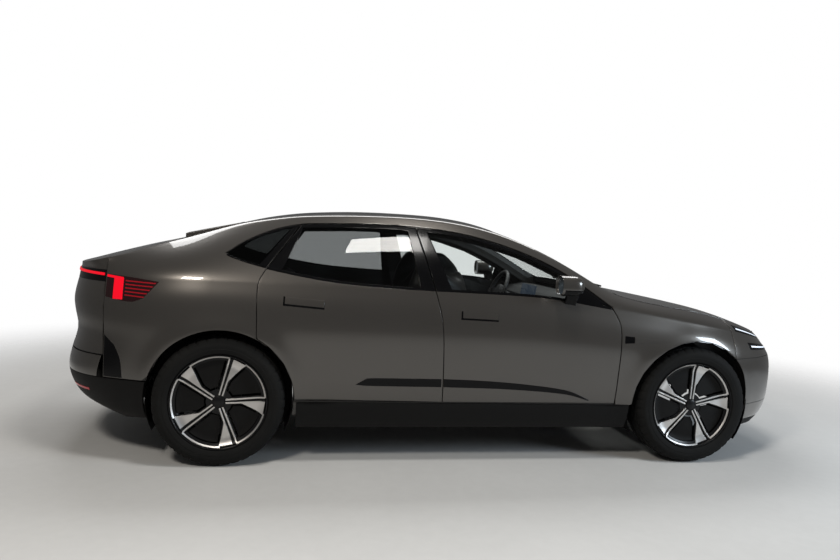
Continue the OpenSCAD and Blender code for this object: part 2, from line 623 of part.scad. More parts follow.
lamp_rear = [for (j = [0 : 5]) let(z = nose_top + (curve(ridge_z, lamp_back) - 3 - nose_top) * j / 5)
    real([lamp_back, -side_y(lamp_back, z), z])];
lamp_front = [for (j = [0 : 5]) let(v = j / 5) lamp_low[6] * (1 - v) + lamp_high[6] * v + [0, 0,
    40 * v * (1 - v)]];
function lamp_in(g) = [for (j = [0 : 5]) [for (i = [0 : 8]) let(u = i / 8, v = j / 5)
    g[j][i] + [-26 * u * (1 - v), 30 * (1 - u) * (1 - v) + 3 * v, -16 * v]]];
module headlamps() {
    color([0.75, 0.78, 0.8]) both() {
        g = fill([lamp_low, lamp_front, lamp_high, lamp_rear], 9, 6);
        between(g, lamp_in(g));
    }
}

// Tailgate: deck, raised pod behind the roof glass and the tail face down to the bumper.
function tail_row(z, d, end) = [for (s = spread) let(t = -s * end, e = 0.02)
    inward(real(tail_at(t, z)), real(tail_at(t + e, z)), real(tail_at(t - e, z)), d)];
// Side edge, foot and rear end of the tailgate
gate = [2107, 622, 2352];
gate_side = gate[0];
gate_foot = gate[1];
deck_end = gate[2];
gate_rows = [gate_foot, 700, 800, 900, 1000, 1060, 1114];
function gate_end(z, in = 0) = end_place(gate_side + in, z, tail_start, tail, tail_power);
function deck_edge(s) = [-gate_side - (deck_end - gate_side) * sqrt(1 - pow(abs(s), 3)),
    -s * edge_y(-gate_side, 0)];
deck_row = [for (s = spread) crown_at(deck_edge(s), 0)];
deck_row_in = [for (s = spread) let(p = deck_edge(s)) crown_at([min(-gate_side, p[0] + 40), p[1] * 0.96],
    lid_skin)];
function cap_row(v, d) = [for (s = spread) let(p = deck_edge(s), q = [-gate_side - 5, p[1] * 0.8])
    crown_at(p + (q - p) * v, d)];
gate_front = roof_rear - shut_gap;
pod_lines = top_lines(-1700, gate_front - 8, -1712, gate_front - 8, 112);
function on_pod(g) = [for (r = g) [for (p = r) real([p[0], p[1], top_z(p[0], p[1])])
    + [0, 0, 3 + 24 * (gate_front - p[0]) / (gate_front + 1700)]]];
module tailgate() {
    color([0.3, 0.29, 0.28]) union() {
        between(
            concat([for (z = gate_rows) tail_row(z, 0, gate_end(z))], [deck_row, cap_row(1, 0)]),
            concat([for (z = gate_rows) tail_row(z, lid_skin, gate_end(z, 24))],
                [deck_row_in, cap_row(1, lid_skin)]));
        lid(top_lines(-2150, gate_front, -2150, gate_front, rim_in + shut_gap), 11, 9, lid_skin);
        between(on_pod(fill(pod_lines, 6, 9)), on_top(fill(pod_lines, 6, 9), 12));
        both() translate([sx(gate_front) - 20, -340 * ky, (top_z(roof_rear, 300) - 25) * kz])
            cube([20 + sx(roof_rear) - sx(gate_front) - seat_gap, 80, 18]);
    }
}

module light_bar() {
    color([0.7, 0.02, 0.02]) between(
        [for (z = [1090, 1110]) tail_row(z, -8, gate_end(z) * 0.99)],
        [for (z = [1090, 1110]) tail_row(z, -0.6, gate_end(z) * 0.99)]);
}

// Rear bumper, low at the sides and up to the tailgate behind.
function bumper_foot(s) = 190 + 72 * pow(abs(s), 4);
function bumper_top(s) = abs(s) > 0.86 ? 489 : gate_foot - shut_gap;
function rear_end_place(z) = end_place(-ux(rear_axle - arch_x(rear_axle, z, arch_radius + 2)), z,
    tail_start, tail,
    tail_power);
function rear_bumper_row(v, d) = [for (s = spread) let(
    z = bumper_foot(s) + (bumper_top(s) - bumper_foot(s)) * v,
    t = -s * rear_end_place(z),
    e = 0.02)
    inward(real(tail_at(t, z)), real(tail_at(t + e, z)), real(tail_at(t - e, z)), d)];
module rear_bumper() {
    color([0.05, 0.05, 0.05]) union() {
        between([for (j = [0 : 5]) rear_bumper_row(j / 5, 0)],
            [for (j = [0 : 5]) rear_bumper_row(j / 5, skin)]);
        both() translate([sx(-2366), -500 * ky, 470 * kz]) cube([tail_rail - seat_gap - sx(-2366), 60, 60]);
    }
}

// Door mirror: a foot that sits on the door's shoulder and a rounded housing.
mirror_foot = [
    [[640, 1018], [712, 1006]],
    [[712, 1006], [716, 1026]],
    [[644, 1038], [716, 1026]],
    [[640, 1018], [644, 1038]]];
mirror_length = 84;
mirror_half_w = 66;
mirror_half_h = 60;
mirror_z = 1138 * kz;
stalk_low = 1012 * kz;
stalk_high = mirror_z - mirror_half_h + 14;
module mirror_right() {
    color([0.25, 0.24, 0.23]) union() {
        between(on_plane(fill(mirror_foot, 3, 3), -1012), on_side(fill(mirror_foot, 3, 3), -seat_gap));
        translate([sx(678), -995 * ky, stalk_low]) cylinder(r = 14, h = stalk_high - stalk_low);
        translate([sx(650), -1008 * ky, mirror_z]) mirror_housing();
    }
}
function mirror_ring(u) = let(
    k = sqrt(max(0.02, 1 - pow(max(u, 0), 2.6))))
    [for (i = [0 : 15]) let(w = -360 * i / 16, c = cos(w), q = sin(w))
        [mirror_length * u, mirror_half_w * k * sign(c) * pow(abs(c), 0.6),
            mirror_half_h * k * sign(q) * pow(abs(q), 0.6)]];
module mirror_housing() {
    rings = [for (u = [-0.9, -0.5, 0, 0.4, 0.7, 0.9, 0.99]) mirror_ring(u)];
    n = 16;
    m = len(rings);
    sides = [for (j = [0 : m - 2]) for (i = [0 : n - 1])
        [j * n + i, j * n + (i + 1) % n, (j + 1) * n + (i + 1) % n, (j + 1) * n + i]];
    polyhedron(flat(rings), concat(flat([for (q = sides) halves(q)]),
        [[for (i = [n - 1 : -1 : 0]) i], [for (i = [0 : n - 1]) (m - 1) * n + i]]), convexity = 4);
}
module mirror_left() {
    on_left() mirror_right();
}

// Wheels, drawn about the Z axis with the outer face up.
rim_half = tyre_width / 2 - 9;
bead = rim_radius - 21;
module tyre() {
    w = tyre_width / 2;
    r = tyre_radius;
    half = [[bead + 0.3, 0], [bead + 0.3, rim_half - 13], [rim_radius + 2, rim_half - 8],
        [rim_radius + 8, rim_half + 2],
        [rim_radius + 26, w - 2], [rim_radius + 48, w], [r - 32, w - 3], [r - 16, w - 14], [r - 6, w - 28],
        [r - 1, w - 50], [r, w - 80], [r, 36]];
    groove = [[r, 34], [r - 8, 33], [r - 8, 27], [r, 26], [r, 0]];
    edge = concat(half, groove);
    color([0.03, 0.03, 0.03]) rotate_extrude()
        polygon(concat(edge, [for (i = [len(edge) - 2 : -1 : 1]) [edge[i][0], -edge[i][1]]]));
}
wall = 10;
module barrel() {
    outside = [[rim_radius, -rim_half], [rim_radius, -rim_half + 8], [bead, -rim_half + 12],
        [bead, -rim_half + 46],
        [bead - 20, -rim_half + 64], [bead - 20, 34], [bead, 54], [bead, rim_half - 12],
            [rim_radius, rim_half - 8],
        [rim_radius, rim_half - 1]];
    inside = [[rim_radius - 13, rim_half - 1], [bead - wall, rim_half - 14], [bead - wall, 58],
        [bead - 20 - wall, 38],
        [bead - 20 - wall, -rim_half + 60], [bead - wall, -rim_half + 42], [bead - wall, -rim_half]];
    rotate_extrude() polygon(concat(outside, inside));
}
face_low = 62;
face_high = 92;
pocket = 9;
hub_radius = 62;
function ring_arc(r, a, b, n) = [for (i = [0 : n]) r * [cos(a + (b - a) * i / n),
    sin(a + (b - a) * i / n)]];
function polar(r, a) = [r * cos(a), r * sin(a)];
slot_out = bead - wall - 16;
slot_in = slot_out * 0.65;
module sector(a, b, r0, r1) {
    polygon(concat(ring_arc(r1, a, b, 10), back(ring_arc(r0, a, b, 4))));
}
module rim() {
    pitch = 360 / spokes;
    color([0.55, 0.55, 0.56]) difference() {
        union() {
            barrel();
            translate([0, 0, face_low]) cylinder(r = bead - wall + 1, h = face_high - face_low);
            translate([0, 0, -40]) cylinder(r = hub_radius, h = face_low + 41);
            translate([0, 0, -30]) cylinder(r = disc_radius, h = 26);
        }
        for (i = [0 : spokes - 1]) rotate(i * pitch) {
            translate([0, 0, face_high - pocket]) linear_extrude(20)
                sector(5, pitch - 7, 92, bead - wall - 12);
            translate([0, 0, face_low - 1]) linear_extrude(60) sector(-1.6, 1.6, 100, bead - wall - 16);
            translate([0, 0, face_low - 1]) linear_extrude(60)
                polygon([polar(slot_out, -6), polar(slot_out, -2.6), polar(slot_in, -2.6)]);
        }
        translate([0, 0, -50]) cylinder(r = spindle_radius + run_gap, h = 104);
    }
}
module wheel_at(x, side) {
    translate([x, side * wheel_y, tyre_radius]) rotate([side < 0 ? 90 : -90, 0, 0]) children();
}
module rim_fr() {
    wheel_at(front_axle, -1) rim();
}
module rim_rr() {
    wheel_at(rear_axle, -1) rim();
}
module rim_fl() {
    on_left() rim_fr();
}
module rim_rl() {
    on_left() rim_rr();
}
module tyre_fr() {
    wheel_at(front_axle, -1) tyre();
}
module tyre_rr() {
    wheel_at(rear_axle, -1) tyre();
}
module tyre_fl() {
    on_left() tyre_fr();
}
module tyre_rl() {
    on_left() tyre_rr();
}

// Knuckles. The front ones turn on a pin below the wheel's middle.
pin_radius = 9;
arm_low = 170 * kz;
arm_high = 200 * kz;
pin_low = arm_low - 2;
upright_in = wheel_y - 112;
upright_w = 30;
module spindle() {
    translate([0, -(upright_in + 4), 0]) rotate([90, 0, 0])
        cylinder(r = spindle_radius, h = wheel_y + 52 - upright_in - 4);
}
module knuckle_fr() {
    color([0.4, 0.4, 0.42]) translate([front_axle, 0, 0]) union() {
        translate([0, 0, tyre_radius]) spindle();
        translate([-34, -upright_in - upright_w, arm_high + seat_gap])
            cube([68, upright_w, tyre_radius + 130 * kz - arm_high]);
        translate([-22, -wheel_y - 22, arm_high + seat_gap]) cube([44, wheel_y + 22 - upright_in, 12]);
        translate([0, -wheel_y, pin_low]) cylinder(r = pin_radius, h = arm_high + 4 - pin_low);
    }
}
module knuckle_fl() {
    on_left() knuckle_fr();
}
link_in = 480 * ky;
link_low = 232 * kz;
module rear_knuckles() {
    color([0.4, 0.4, 0.42]) both() translate([rear_axle, 0, 0]) union() {
        translate([0, 0, tyre_radius]) spindle();
        translate([-40, -upright_in - upright_w, link_low - 12])
            cube([80, upright_w, tyre_radius + 130 * kz - link_low]);
        for (x = [-150, 110])
            translate([x, -upright_in - 2, link_low]) cube([40, upright_in + 2 - link_in - seat_gap, 28]);
        translate([-150, -upright_in - 2, link_low]) cube([300, 16, 28]);
    }
}

// Floor, bulkheads and rails of the shell.
floor_z = 330 * kz;
floor_thick = 30;
floor_half = 748 * ky;
front_wall = sx(1040);
wall_thick = 30;
rail_y = 400 * ky;
rail_w = 60;
rail_z = 430 * kz;
apron_y = 500 * ky;
nose_rail = sx(2184.6);
tail_rail = sx(-2255);
rear_floor_half = 540 * ky;
boot_z = 560 * kz;
boot_ends = [-2080, -980];
jack_places = [-760, 760];
jack_y = 719 * ky;
jack_z = 200 * kz;
jack_radius = 26;
module platform() {
    color([0.35, 0.35, 0.36]) union() {
        translate([sx(-1010), -floor_half, floor_z])
            cube([front_wall - sx(-1010), 2 * floor_half, floor_thick]);
        both() translate([sx(-880), -floor_half, floor_z]) cube([sx(900) - sx(-880), 60, 80]);
        translate([front_wall - wall_thick, -700 * ky, floor_z]) cube([wall_thick, 1400 * ky, 560 * kz]);
        both() {
            translate([front_wall - wall_thick, -rail_y - rail_w, rail_z])
                cube([nose_rail - front_wall + wall_thick, rail_w, 120 * kz]);
            translate([front_wall - wall_thick, -apron_y, 790 * kz])
                cube([sx(2080) - front_wall + wall_thick, 40, 60 * kz]);
            translate([sx(boot_ends[0]), -520 * ky, rail_z])
                cube([sx(-1000) - sx(boot_ends[0]), 80 * ky, boot_z + 1 - rail_z]);
            translate([tail_rail, -520 * ky, rail_z]) cube([sx(-2000) - tail_rail, 80 * ky, 100 * kz]);
            for (x = jack_places)
                translate([sx(x), -jack_y, jack_z]) cylinder(r = jack_radius, h = floor_z + 1 - jack_z);
        }
        translate([sx(2060), -apron_y, 540 * kz]) cube([sx(2080) - sx(2060), 2 * apron_y, 310 * kz]);
        translate([sx(-1010), -rear_floor_half, floor_z])
            cube([30, 2 * rear_floor_half, boot_z + 30 - floor_z]);
        translate([sx(boot_ends[0]), -rear_floor_half, boot_z])
            cube([sx(boot_ends[1]) - sx(boot_ends[0]), 2 * rear_floor_half, 30]);
        translate([sx(boot_ends[0]), -rear_floor_half, boot_z]) cube([24, 2 * rear_floor_half, 150 * kz]);
    }
}
module liner(axle, y0, y1) {
    translate([axle, -y0, tyre_radius]) rotate([90, 0, 0]) difference() {
        rotate_extrude(angle = 168, start = 6) translate([arch_radius + 3, 0]) square([5, y1 - y0]);
        translate([0, 0, -1]) cylinder(r = arch_radius, h = 2);
    }
}
module arch_liners() {
    color([0.04, 0.04, 0.04]) both() {
        liner(front_axle, apron_y + seat_gap, 850 * ky);
        liner(rear_axle, rear_floor_half + seat_gap, 755 * ky);
    }
}

// Subframes, drive and battery.
frame_y = 460 * ky;
frame_low = 150 * kz;
frame_high = 70;
rear_frame_low = 205 * kz;
module front_subframe() {
    color([0.2, 0.2, 0.2]) union() {
        for (x = [front_axle - 190, front_axle + 110])
            translate([x, -frame_y + 20, frame_low]) cube([80, 2 * frame_y - 40, frame_high]);
        both() {
            translate([front_axle - 190, -frame_y, frame_low]) cube([380, 60, frame_high]);
            translate([front_axle - 20, -frame_y, frame_low]) cube([40, 60, rail_z - frame_low - seat_gap]);
            difference() {
                union() {
                    translate([front_axle - 14, -wheel_y, arm_low])
                        cube([28, wheel_y - frame_y + 10, arm_high - arm_low]);
                    translate([front_axle, -wheel_y, arm_low]) cylinder(r = 24, h = arm_high - arm_low);
                }
                translate([front_axle, -wheel_y, arm_low - 1])
                    cylinder(r = pin_radius + run_gap, h = arm_high);
            }
        }
    }
}
module rear_subframe() {
    color([0.2, 0.2, 0.2]) union() {
        for (x = [rear_axle - 200, rear_axle + 120])
            translate([x, -link_in, rear_frame_low]) cube([80, 2 * link_in, frame_high]);
        both() {
            translate([rear_axle - 200, -link_in, rear_frame_low]) cube([400, 60, frame_high]);
            for (x = [-100, 60])
                translate([rear_axle + x, -link_in, rear_frame_low])
                    cube([40, 60, rail_z - rear_frame_low - seat_gap]);
        }
    }
}
module drive_unit() {
    color([0.5, 0.5, 0.52]) union() {
        translate([rear_axle - 170, -210 * ky, rear_frame_low + frame_high + seat_gap])
            cube([340, 420 * ky, 240 * kz]);
        translate([rear_axle, 0, tyre_radius]) rotate([90, 0, 0])
            cylinder(r = 18, h = 2 * (upright_in - 4 - seat_gap), center = true);
    }
}
pack_low = 172 * kz;
module battery_pack() {
    color([0.25, 0.25, 0.26]) translate([sx(-960), -690 * ky, pack_low])
        cube([sx(960) - sx(-960), 1380 * ky, floor_z - seat_gap - pack_low]);
}

// Cabin. Profiles stand on the floor.
column_tilt = 24;
column = [590, 380, 985];
shaft_radius = 14;
stand_z = (floor_z + floor_thick + seat_gap) / kz;
dash_x = ux(front_wall - wall_thick - seat_gap);
seat_back_x = ux(sx(-1010) + 30 + seat_gap);
module on_column() {
    translate(real(column)) rotate([0, column_tilt - 90, 0]) children();
}
module dashboard() {
    color([0.08, 0.08, 0.09]) union() {
        slice([[dash_x, 1030], [dash_x, 690], [880, 660], [760, 780], [700, 900], [712, 985], [780, 1018],
            [900, 1040]],
            1400, 0);
        on_column() translate([0, 0, -200 * kx]) cylinder(r = 34, h = 200 * kx - 50);
        on_column() translate([0, 0, -60]) cylinder(r = shaft_radius, h = 58);
    }
}
module steering_wheel() {
    color([0.05, 0.05, 0.05]) on_column() difference() {
        union() {
            rotate_extrude() translate([wheel_rim - 15, 0]) circle(r = 15);
            translate([0, 0, -34]) cylinder(r = 62, h = 40);
            for (a = [0, 90, 270]) rotate(a + 180)
                translate([40, -16, -22]) cube([wheel_rim - 52, 32, 14]);
        }
        translate([0, 0, -50]) cylinder(r = shaft_radius + run_gap, h = 50);
    }
}
console_gap = 20;
console_wide = seat_spacing - seat_width - 2 * console_gap;
module console() {
    color([0.08, 0.08, 0.09])
        slice([[-120, stand_z], [-120, 640], [-60, 680], [250, 680], [420, 620], [700, 640],
            [700, stand_z]], console_wide, 0);
}
module front_seat(y) {
    slice([[-40, stand_z], [440, stand_z], [470, 520], [510, 590], [480, 625], [120, 585], [60, 700],
        [10, 960],
        [-30, 1170], [-70, 1190], [-130, 1170], [-120, 980], [-90, 740], [-70, 560]], seat_width, y);
    slice([[-136, 1160], [-46, 1160], [-16, 1240], [-10, 1330], [-46, 1358], [-96, 1340], [-126, 1240]],
        280, y);
}
module front_seats() {
    color([0.1, 0.1, 0.11]) both() front_seat(-seat_spacing / 2);
}
module rear_seat() {
    color([0.1, 0.1, 0.11]) union() {
        slice([[seat_back_x, stand_z], [-500, stand_z], [-470, 540], [-420, 600], [-460, 640], [-840, 600],
            [-900, 760],
            [-1010, 1010], [-1060, 1060], [-1120, 1050], [-1110, 980], [-1030, 760],
            [seat_back_x, (boot_z + 30) / kz + 2]], 1240, 0);
        for (y = [-400, 0, 400])
            slice([[-1130, 1020], [-1050, 1020], [-1046, 1130], [-1080, 1170], [-1130, 1150]], 240, y);
    }
}

platform();
battery_pack();
drive_unit();
front_subframe();
rear_subframe();
rear_knuckles();
body_side_left();
body_side_right();
roof_panel();
windshield();
cowl();
quarter_glass();
fenders();
front_bumper();
nose_panel();
headlamps();
rear_bumper();
tail_lamps();
arch_liners();
sill_trims();
dashboard();
console();
front_seats();
rear_seat();
door_fl();
door_fr();
door_rl();
door_rr();
glass_fl();
glass_fr();
glass_rl();
glass_rr();
mirror_left();
mirror_right();
hood();
tailgate();
light_bar();
steering_wheel();
knuckle_fl();
knuckle_fr();
rim_fl();
rim_fr();
rim_rl();
rim_rr();
tyre_fl();
tyre_fr();
tyre_rl();
tyre_rr();
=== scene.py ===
# %% [markdown]
# This lesson dresses a coupe sport utility vehicle. The packed construction parts are loaded first and
# stay where they are; every new piece is modelled on top of them and rides on one of their bodies, so
# that doors, lids and wheels still move.

# %% Load the packed car
import math
import bpy
import numpy as np
from mathutils import Matrix, Vector


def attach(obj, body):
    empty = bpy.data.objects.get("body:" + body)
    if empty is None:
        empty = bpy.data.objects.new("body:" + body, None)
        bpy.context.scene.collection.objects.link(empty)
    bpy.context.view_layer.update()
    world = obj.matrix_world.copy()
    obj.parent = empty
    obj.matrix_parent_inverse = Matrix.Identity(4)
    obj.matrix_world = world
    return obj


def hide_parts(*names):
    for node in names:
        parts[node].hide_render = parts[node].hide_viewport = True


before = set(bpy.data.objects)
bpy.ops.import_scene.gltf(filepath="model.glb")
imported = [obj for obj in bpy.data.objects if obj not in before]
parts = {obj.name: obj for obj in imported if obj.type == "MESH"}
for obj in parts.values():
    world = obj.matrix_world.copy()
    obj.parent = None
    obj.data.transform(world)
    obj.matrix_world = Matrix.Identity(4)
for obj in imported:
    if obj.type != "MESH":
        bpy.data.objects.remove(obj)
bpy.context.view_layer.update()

# %% [markdown]
# A car body is drawn as a few long lines: the shoulder, the ridge where the side turns over, the spine
# of the roof, and the section of the flank. Each line below is a list of points in millimetres. A
# designer would pull a spline through them; here they are joined by smooth cubic pieces and then
# blurred a little, because glossy paint shows every wobble in a line.

# %% A smooth line through points
STEPS, BLUR_REACH = 12, 4


def flow(points, blur):
    p = np.array(points, float)
    x, y = p[:, 0], p[:, 1]
    slope = np.empty(len(p))
    slope[1:-1] = (y[2:] - y[:-2]) / (x[2:] - x[:-2])
    slope[0] = (y[1] - y[0]) / (x[1] - x[0])
    slope[-1] = (y[-1] - y[-2]) / (x[-1] - x[-2])
    at = np.arange(x[0] - 5 * blur, x[-1] + 5 * blur, blur / STEPS)
    inside = np.clip(at, x[0], x[-1])
    i = np.clip(np.searchsorted(x, inside) - 1, 0, len(p) - 2)
    h = x[i + 1] - x[i]
    t = (inside - x[i]) / h
    value = (y[i] * (2 * t**3 - 3 * t**2 + 1) + slope[i] * h * (t**3 - 2 * t**2 + t)
             + y[i + 1] * (3 * t**2 - 2 * t**3) + slope[i + 1] * h * (t**3 - t**2))
    value += np.where(at < x[0], slope[0] * (at - x[0]), 0)
    value += np.where(at > x[-1], slope[-1] * (at - x[-1]), 0)
    half = BLUR_REACH * STEPS
    weight = np.exp(-0.5 * (np.arange(-half, half + 1) / STEPS) ** 2)
    held = np.pad(value, half, mode="reflect", reflect_type="odd")
    even = np.convolve(held, weight / weight.sum(), "valid")
    return lambda v: np.interp(v, at, even)


print("points blended at each place of a line:", 2 * BLUR_REACH * STEPS + 1)

# %% [markdown]
# These lines are those of the packed solids, so that panels and solids agree. The first number of a
# point is the place along the car, or the height for the two ends, and the second is what the line says
# there.

# %% Lines of the body
shoulder = flow([(-2420, 1070), (-1800, 1088), (-1245, 1086), (-800, 1082), (-211, 1072), (429, 1058),
                 (967, 1000), (1400, 938), (1900, 850), (2420, 735)], 60)
ridge_z = flow([(-2420, 1088), (-2181, 1163), (-2012, 1213), (-1841, 1270), (-1642, 1331), (-1433, 1400),
                (-1306, 1434), (-1150, 1462), (-1000, 1483), (-700, 1502), (-400, 1508), (-200, 1503),
                (0, 1485), (200, 1448), (400, 1388), (610, 1300), (820, 1190), (930, 1126), (1020, 1086),
                (1184, 1045), (1390, 1013), (1650, 976), (1870, 932), (2040, 884), (2200, 826),
                (2420, 715)], 45)
ridge_y = flow([(-2420, 760), (-2181, 742), (-1900, 692), (-1600, 650), (-1300, 628), (-1000, 628),
                (-600, 636), (-200, 645), (0, 655), (200, 672), (400, 698), (610, 731), (820, 768),
                (930, 786), (1020, 797), (1184, 800), (1390, 792), (1650, 774), (1870, 748), (2040, 712),
                (2200, 652), (2420, 480)], 60)
spine = flow([(-2420, 1122), (-2300, 1157), (-2150, 1204), (-1950, 1262), (-1746, 1314), (-1600, 1360),
              (-1450, 1406), (-1346, 1438), (-1200, 1476), (-1000, 1511), (-800, 1530), (-600, 1541),
              (-400, 1544), (-150, 1540), (0, 1530), (165, 1507), (300, 1470), (430, 1420), (610, 1342),
              (800, 1249), (1000, 1150), (1120, 1096), (1170, 1086), (1300, 1068), (1535, 1031),
              (1775, 990), (2000, 944), (2200, 870), (2340, 786), (2420, 715)], 30)
flank = flow([(0, 880), (0.11, 922), (0.28, 948), (0.48, 966), (0.7, 983), (0.87, 972), (1, 936)], 0.03)
nose_reach = flow([(180, 2330), (300, 2400), (400, 2420), (550, 2416), (690, 2396), (760, 2356),
                   (835, 2288), (900, 2190), (1000, 2010)], 18)
tail_reach = flow([(180, 2010), (235, 2160), (320, 2325), (400, 2390), (500, 2420), (600, 2404),
                   (700, 2374), (760, 2366), (850, 2384), (920, 2392), (1000, 2380), (1060, 2366),
                   (1130, 2352), (1200, 2260), (1300, 2120)], 14)
FRONT_AXLE, REAR_AXLE, WHEEL_Z, WHEEL_Y, ARCH = 1560, -1439, 381, 848, 427
FLANK_FOOT, NOSE_START, NOSE_POWER, TAIL_POWER, LEAN = 205, 1500, 4, 3.5, -0.45
print("wheelbase:", FRONT_AXLE - REAR_AXLE, "mm")

# %% [markdown]
# The lines make one skin. The side gives the half width for a place and a height: a flank that swells
# over the wheels and tapers to both ends, and above the shoulder a curve that leans in to the ridge.
# The top gives the height for a place and a distance from the middle.

# %% The skin of the body
SWELL, SWELL_REACH = 12, 70


def swell(x, z):
    near = np.where(np.abs(x - FRONT_AXLE) < np.abs(x - REAR_AXLE), FRONT_AXLE, REAR_AXLE)
    return SWELL * np.exp(-(((np.hypot(x - near, z - WHEEL_Z) - ARCH) / SWELL_REACH) ** 2))


def taper(x, z):
    ahead = np.clip(1 - ((x - NOSE_START) / (nose_reach(z) - NOSE_START)) ** 2, 0, 1) ** (1 / NOSE_POWER)
    behind = np.clip(1 - ((x + NOSE_START) / (tail_reach(z) - NOSE_START)) ** 2, 0, 1) ** (1 / TAIL_POWER)
    return np.where(x > NOSE_START, ahead, np.where(x < -NOSE_START, behind, 1))


def side(x, z):
    zb, ze, ye = shoulder(x), ridge_z(x), ridge_y(x)
    low = flank((z - FLANK_FOOT) / (zb - FLANK_FOOT)) * taper(x, z) + swell(x, z)
    yb = flank(1) * taper(x, zb) + swell(x, zb)
    t, m = (z - zb) / (ze - zb), LEAN * (ze - zb)
    return np.where(z <= zb, low, yb + m * t + (ye - yb - m) * t * t)


def top(x, y):
    return spine(x) - (spine(x) - ridge_z(x)) * (np.abs(y) / ridge_y(x)) ** 2


print("half width at the front door:", round(float(side(500.0, 800.0))), "mm")

# %% [markdown]
# A panel is an area of that skin inside four edge lines. Its points are blended from the four edges, as
# cloth hangs in a frame, and then laid on the side or on the top of the body.

# %% Edge lines and patches
def line(*points):
    return np.array(points, float)


def spaced(p, n):
    p = np.asarray(p, float)
    run = np.concatenate([[0], np.cumsum(np.linalg.norm(np.diff(p, axis=0), axis=1))])
    at = np.linspace(0, run[-1], n)
    return np.stack([np.interp(at, run, p[:, k]) for k in range(p.shape[1])], 1)


def patch(bottom, right, above, left, n, m):
    b, t, r, l = spaced(bottom, n), spaced(above, n), spaced(right, m), spaced(left, m)
    u, v = np.linspace(0, 1, n)[None, :, None], np.linspace(0, 1, m)[:, None, None]
    return ((1 - v) * b[None] + v * t[None] + (1 - u) * l[:, None] + u * r[:, None]
            - ((1 - u) * (1 - v) * b[0] + u * (1 - v) * b[-1] + (1 - u) * v * t[0] + u * v * t[-1]))


def ribbon(low, high, m):
    v = np.linspace(0, 1, m)[:, None, None]
    return (1 - v) * low[None] + v * high[None]


def band(low, high, n, m):
    return ribbon(spaced(low, n), spaced(high, n), m)


def shifted(p, d):
    p = np.asarray(p, float)
    way = np.gradient(p, axis=0)
    way /= np.linalg.norm(way, axis=1)[:, None]
    return p + np.stack([-way[:, 1], way[:, 0]], 1) * d


def on_side(grid, lift):
    x, z = grid[..., 0], grid[..., 1]
    return np.stack([x, -(side(x, z) + lift), z], -1)


def on_top(grid, lift):
    x, y = grid[..., 0], grid[..., 1]
    return np.stack([x, y, top(x, y) + lift], -1)


print("roof height over the middle:", round(float(top(0.0, 0.0))), "mm")

# %% [markdown]
# The grid primitive has the rows and columns that such a patch needs, so each piece starts as one and
# its points are moved into place. Solidify then gives it a wall, a bevel rounds its edge, and weighted
# normals keep the wide faces calm beside the round.

# %% From a grid to a plate
MM = 0.001


def alone(piece):
    bpy.ops.object.select_all(action="DESELECT")
    piece.select_set(True)
    bpy.context.view_layer.objects.active = piece


def sheet(name, rows):
    rows = np.asarray(rows, float)
    bpy.ops.object.select_all(action="DESELECT")
    down, along = rows.shape[0] - 1, rows.shape[1] - 1
    bpy.ops.mesh.primitive_grid_add(x_subdivisions=along, y_subdivisions=down, size=1)
    piece = bpy.context.object
    piece.name = piece.data.name = name
    piece.data.vertices.foreach_set("co", (rows * MM).ravel())
    piece.data.update()
    return piece


def apply_all(piece):
    alone(piece)
    for name in [m.name for m in piece.modifiers]:
        bpy.ops.object.modifier_apply(modifier=name)


def smooth(piece, degrees):
    alone(piece)
    bpy.ops.object.shade_smooth_by_angle(angle=math.radians(degrees))


def plate(piece, thick, edge, segments=2):
    wall = piece.modifiers.new("wall", "SOLIDIFY")
    wall.thickness, wall.offset = thick * MM, -1
    apply_all(piece)
    bend = piece.modifiers.new("edge", "BEVEL")
    bend.width, bend.segments, bend.limit_method = edge * MM, segments, "ANGLE"
    bend.angle_limit, bend.use_clamp_overlap = math.radians(45), True
    piece.modifiers.new("calm", "WEIGHTED_NORMAL").keep_sharp = False
    smooth(piece, 180)
    apply_all(piece)
    return piece


def plated(thick, edge, segments=2):
    return lambda piece: plate(piece, thick, edge, segments)


# %% [markdown]
# A finished piece gets its material, rides on one body and hides any packed part that it stands for.
# The car is the same on both sides, so most panels are drawn for the right side and mirrored for the
# left.

# %% Panels on bodies, right and left
def dress(piece, finish, body, slot, *replaced):
    piece.data.materials.clear()
    piece.data.materials.append(finish)
    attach(piece, body)
    if replaced:
        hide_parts(*replaced)
    return piece


def panel(name, rows, make, finish, body, slot, *replaced):
    return dress(make(sheet(name, rows)), finish, body, slot, *replaced)


def mirrored(rows):
    return np.asarray(rows)[:, ::-1] * (1, -1, 1)


def pair(name, rows, make, finish, bodies, slot, replaced=((), ())):
    hands = (("right", rows), ("left", mirrored(rows)))
    for (tag, hand), body, nodes in zip(hands, bodies, replaced):
        panel(name + "_" + tag, hand, make, finish, body, slot, *nodes)


SHELL = ("shell", "shell")
FRONT_DOORS = ("door_front_right", "door_front_left")
REAR_DOORS = ("door_rear_right", "door_rear_left")
print("door bodies:", FRONT_DOORS + REAR_DOORS)

# %% [markdown]
# Finishes are node trees. To keep their arithmetic readable, a small class wraps a socket so that plus,
# minus and times add Math nodes, and one method adds any other node.

# %% A class for shader arithmetic
class Wire:
    def __init__(self, finish, socket):
        self.finish, self.socket = finish, socket

    def math(self, operation, a, b):
        return self.finish.node("ShaderNodeMath", {"operation": operation}, {0: a, 1: b})

    def __add__(self, other):
        return self.math("ADD", self, other)

    __radd__ = __add__

    def __sub__(self, other):
        return self.math("SUBTRACT", self, other)

    def __rsub__(self, other):
        return self.math("SUBTRACT", other, self)

    def __mul__(self, other):
        return self.math("MULTIPLY", self, other)

    __rmul__ = __mul__


print("operators of a wire:", [name for name in vars(Wire) if name.startswith("__r")])

# %% [markdown]
# The second class is one material: it starts from the standard shader, keeps the object coordinates at
# hand and has short names for noise, mixing and bump, so that a finish reads as a few lines.

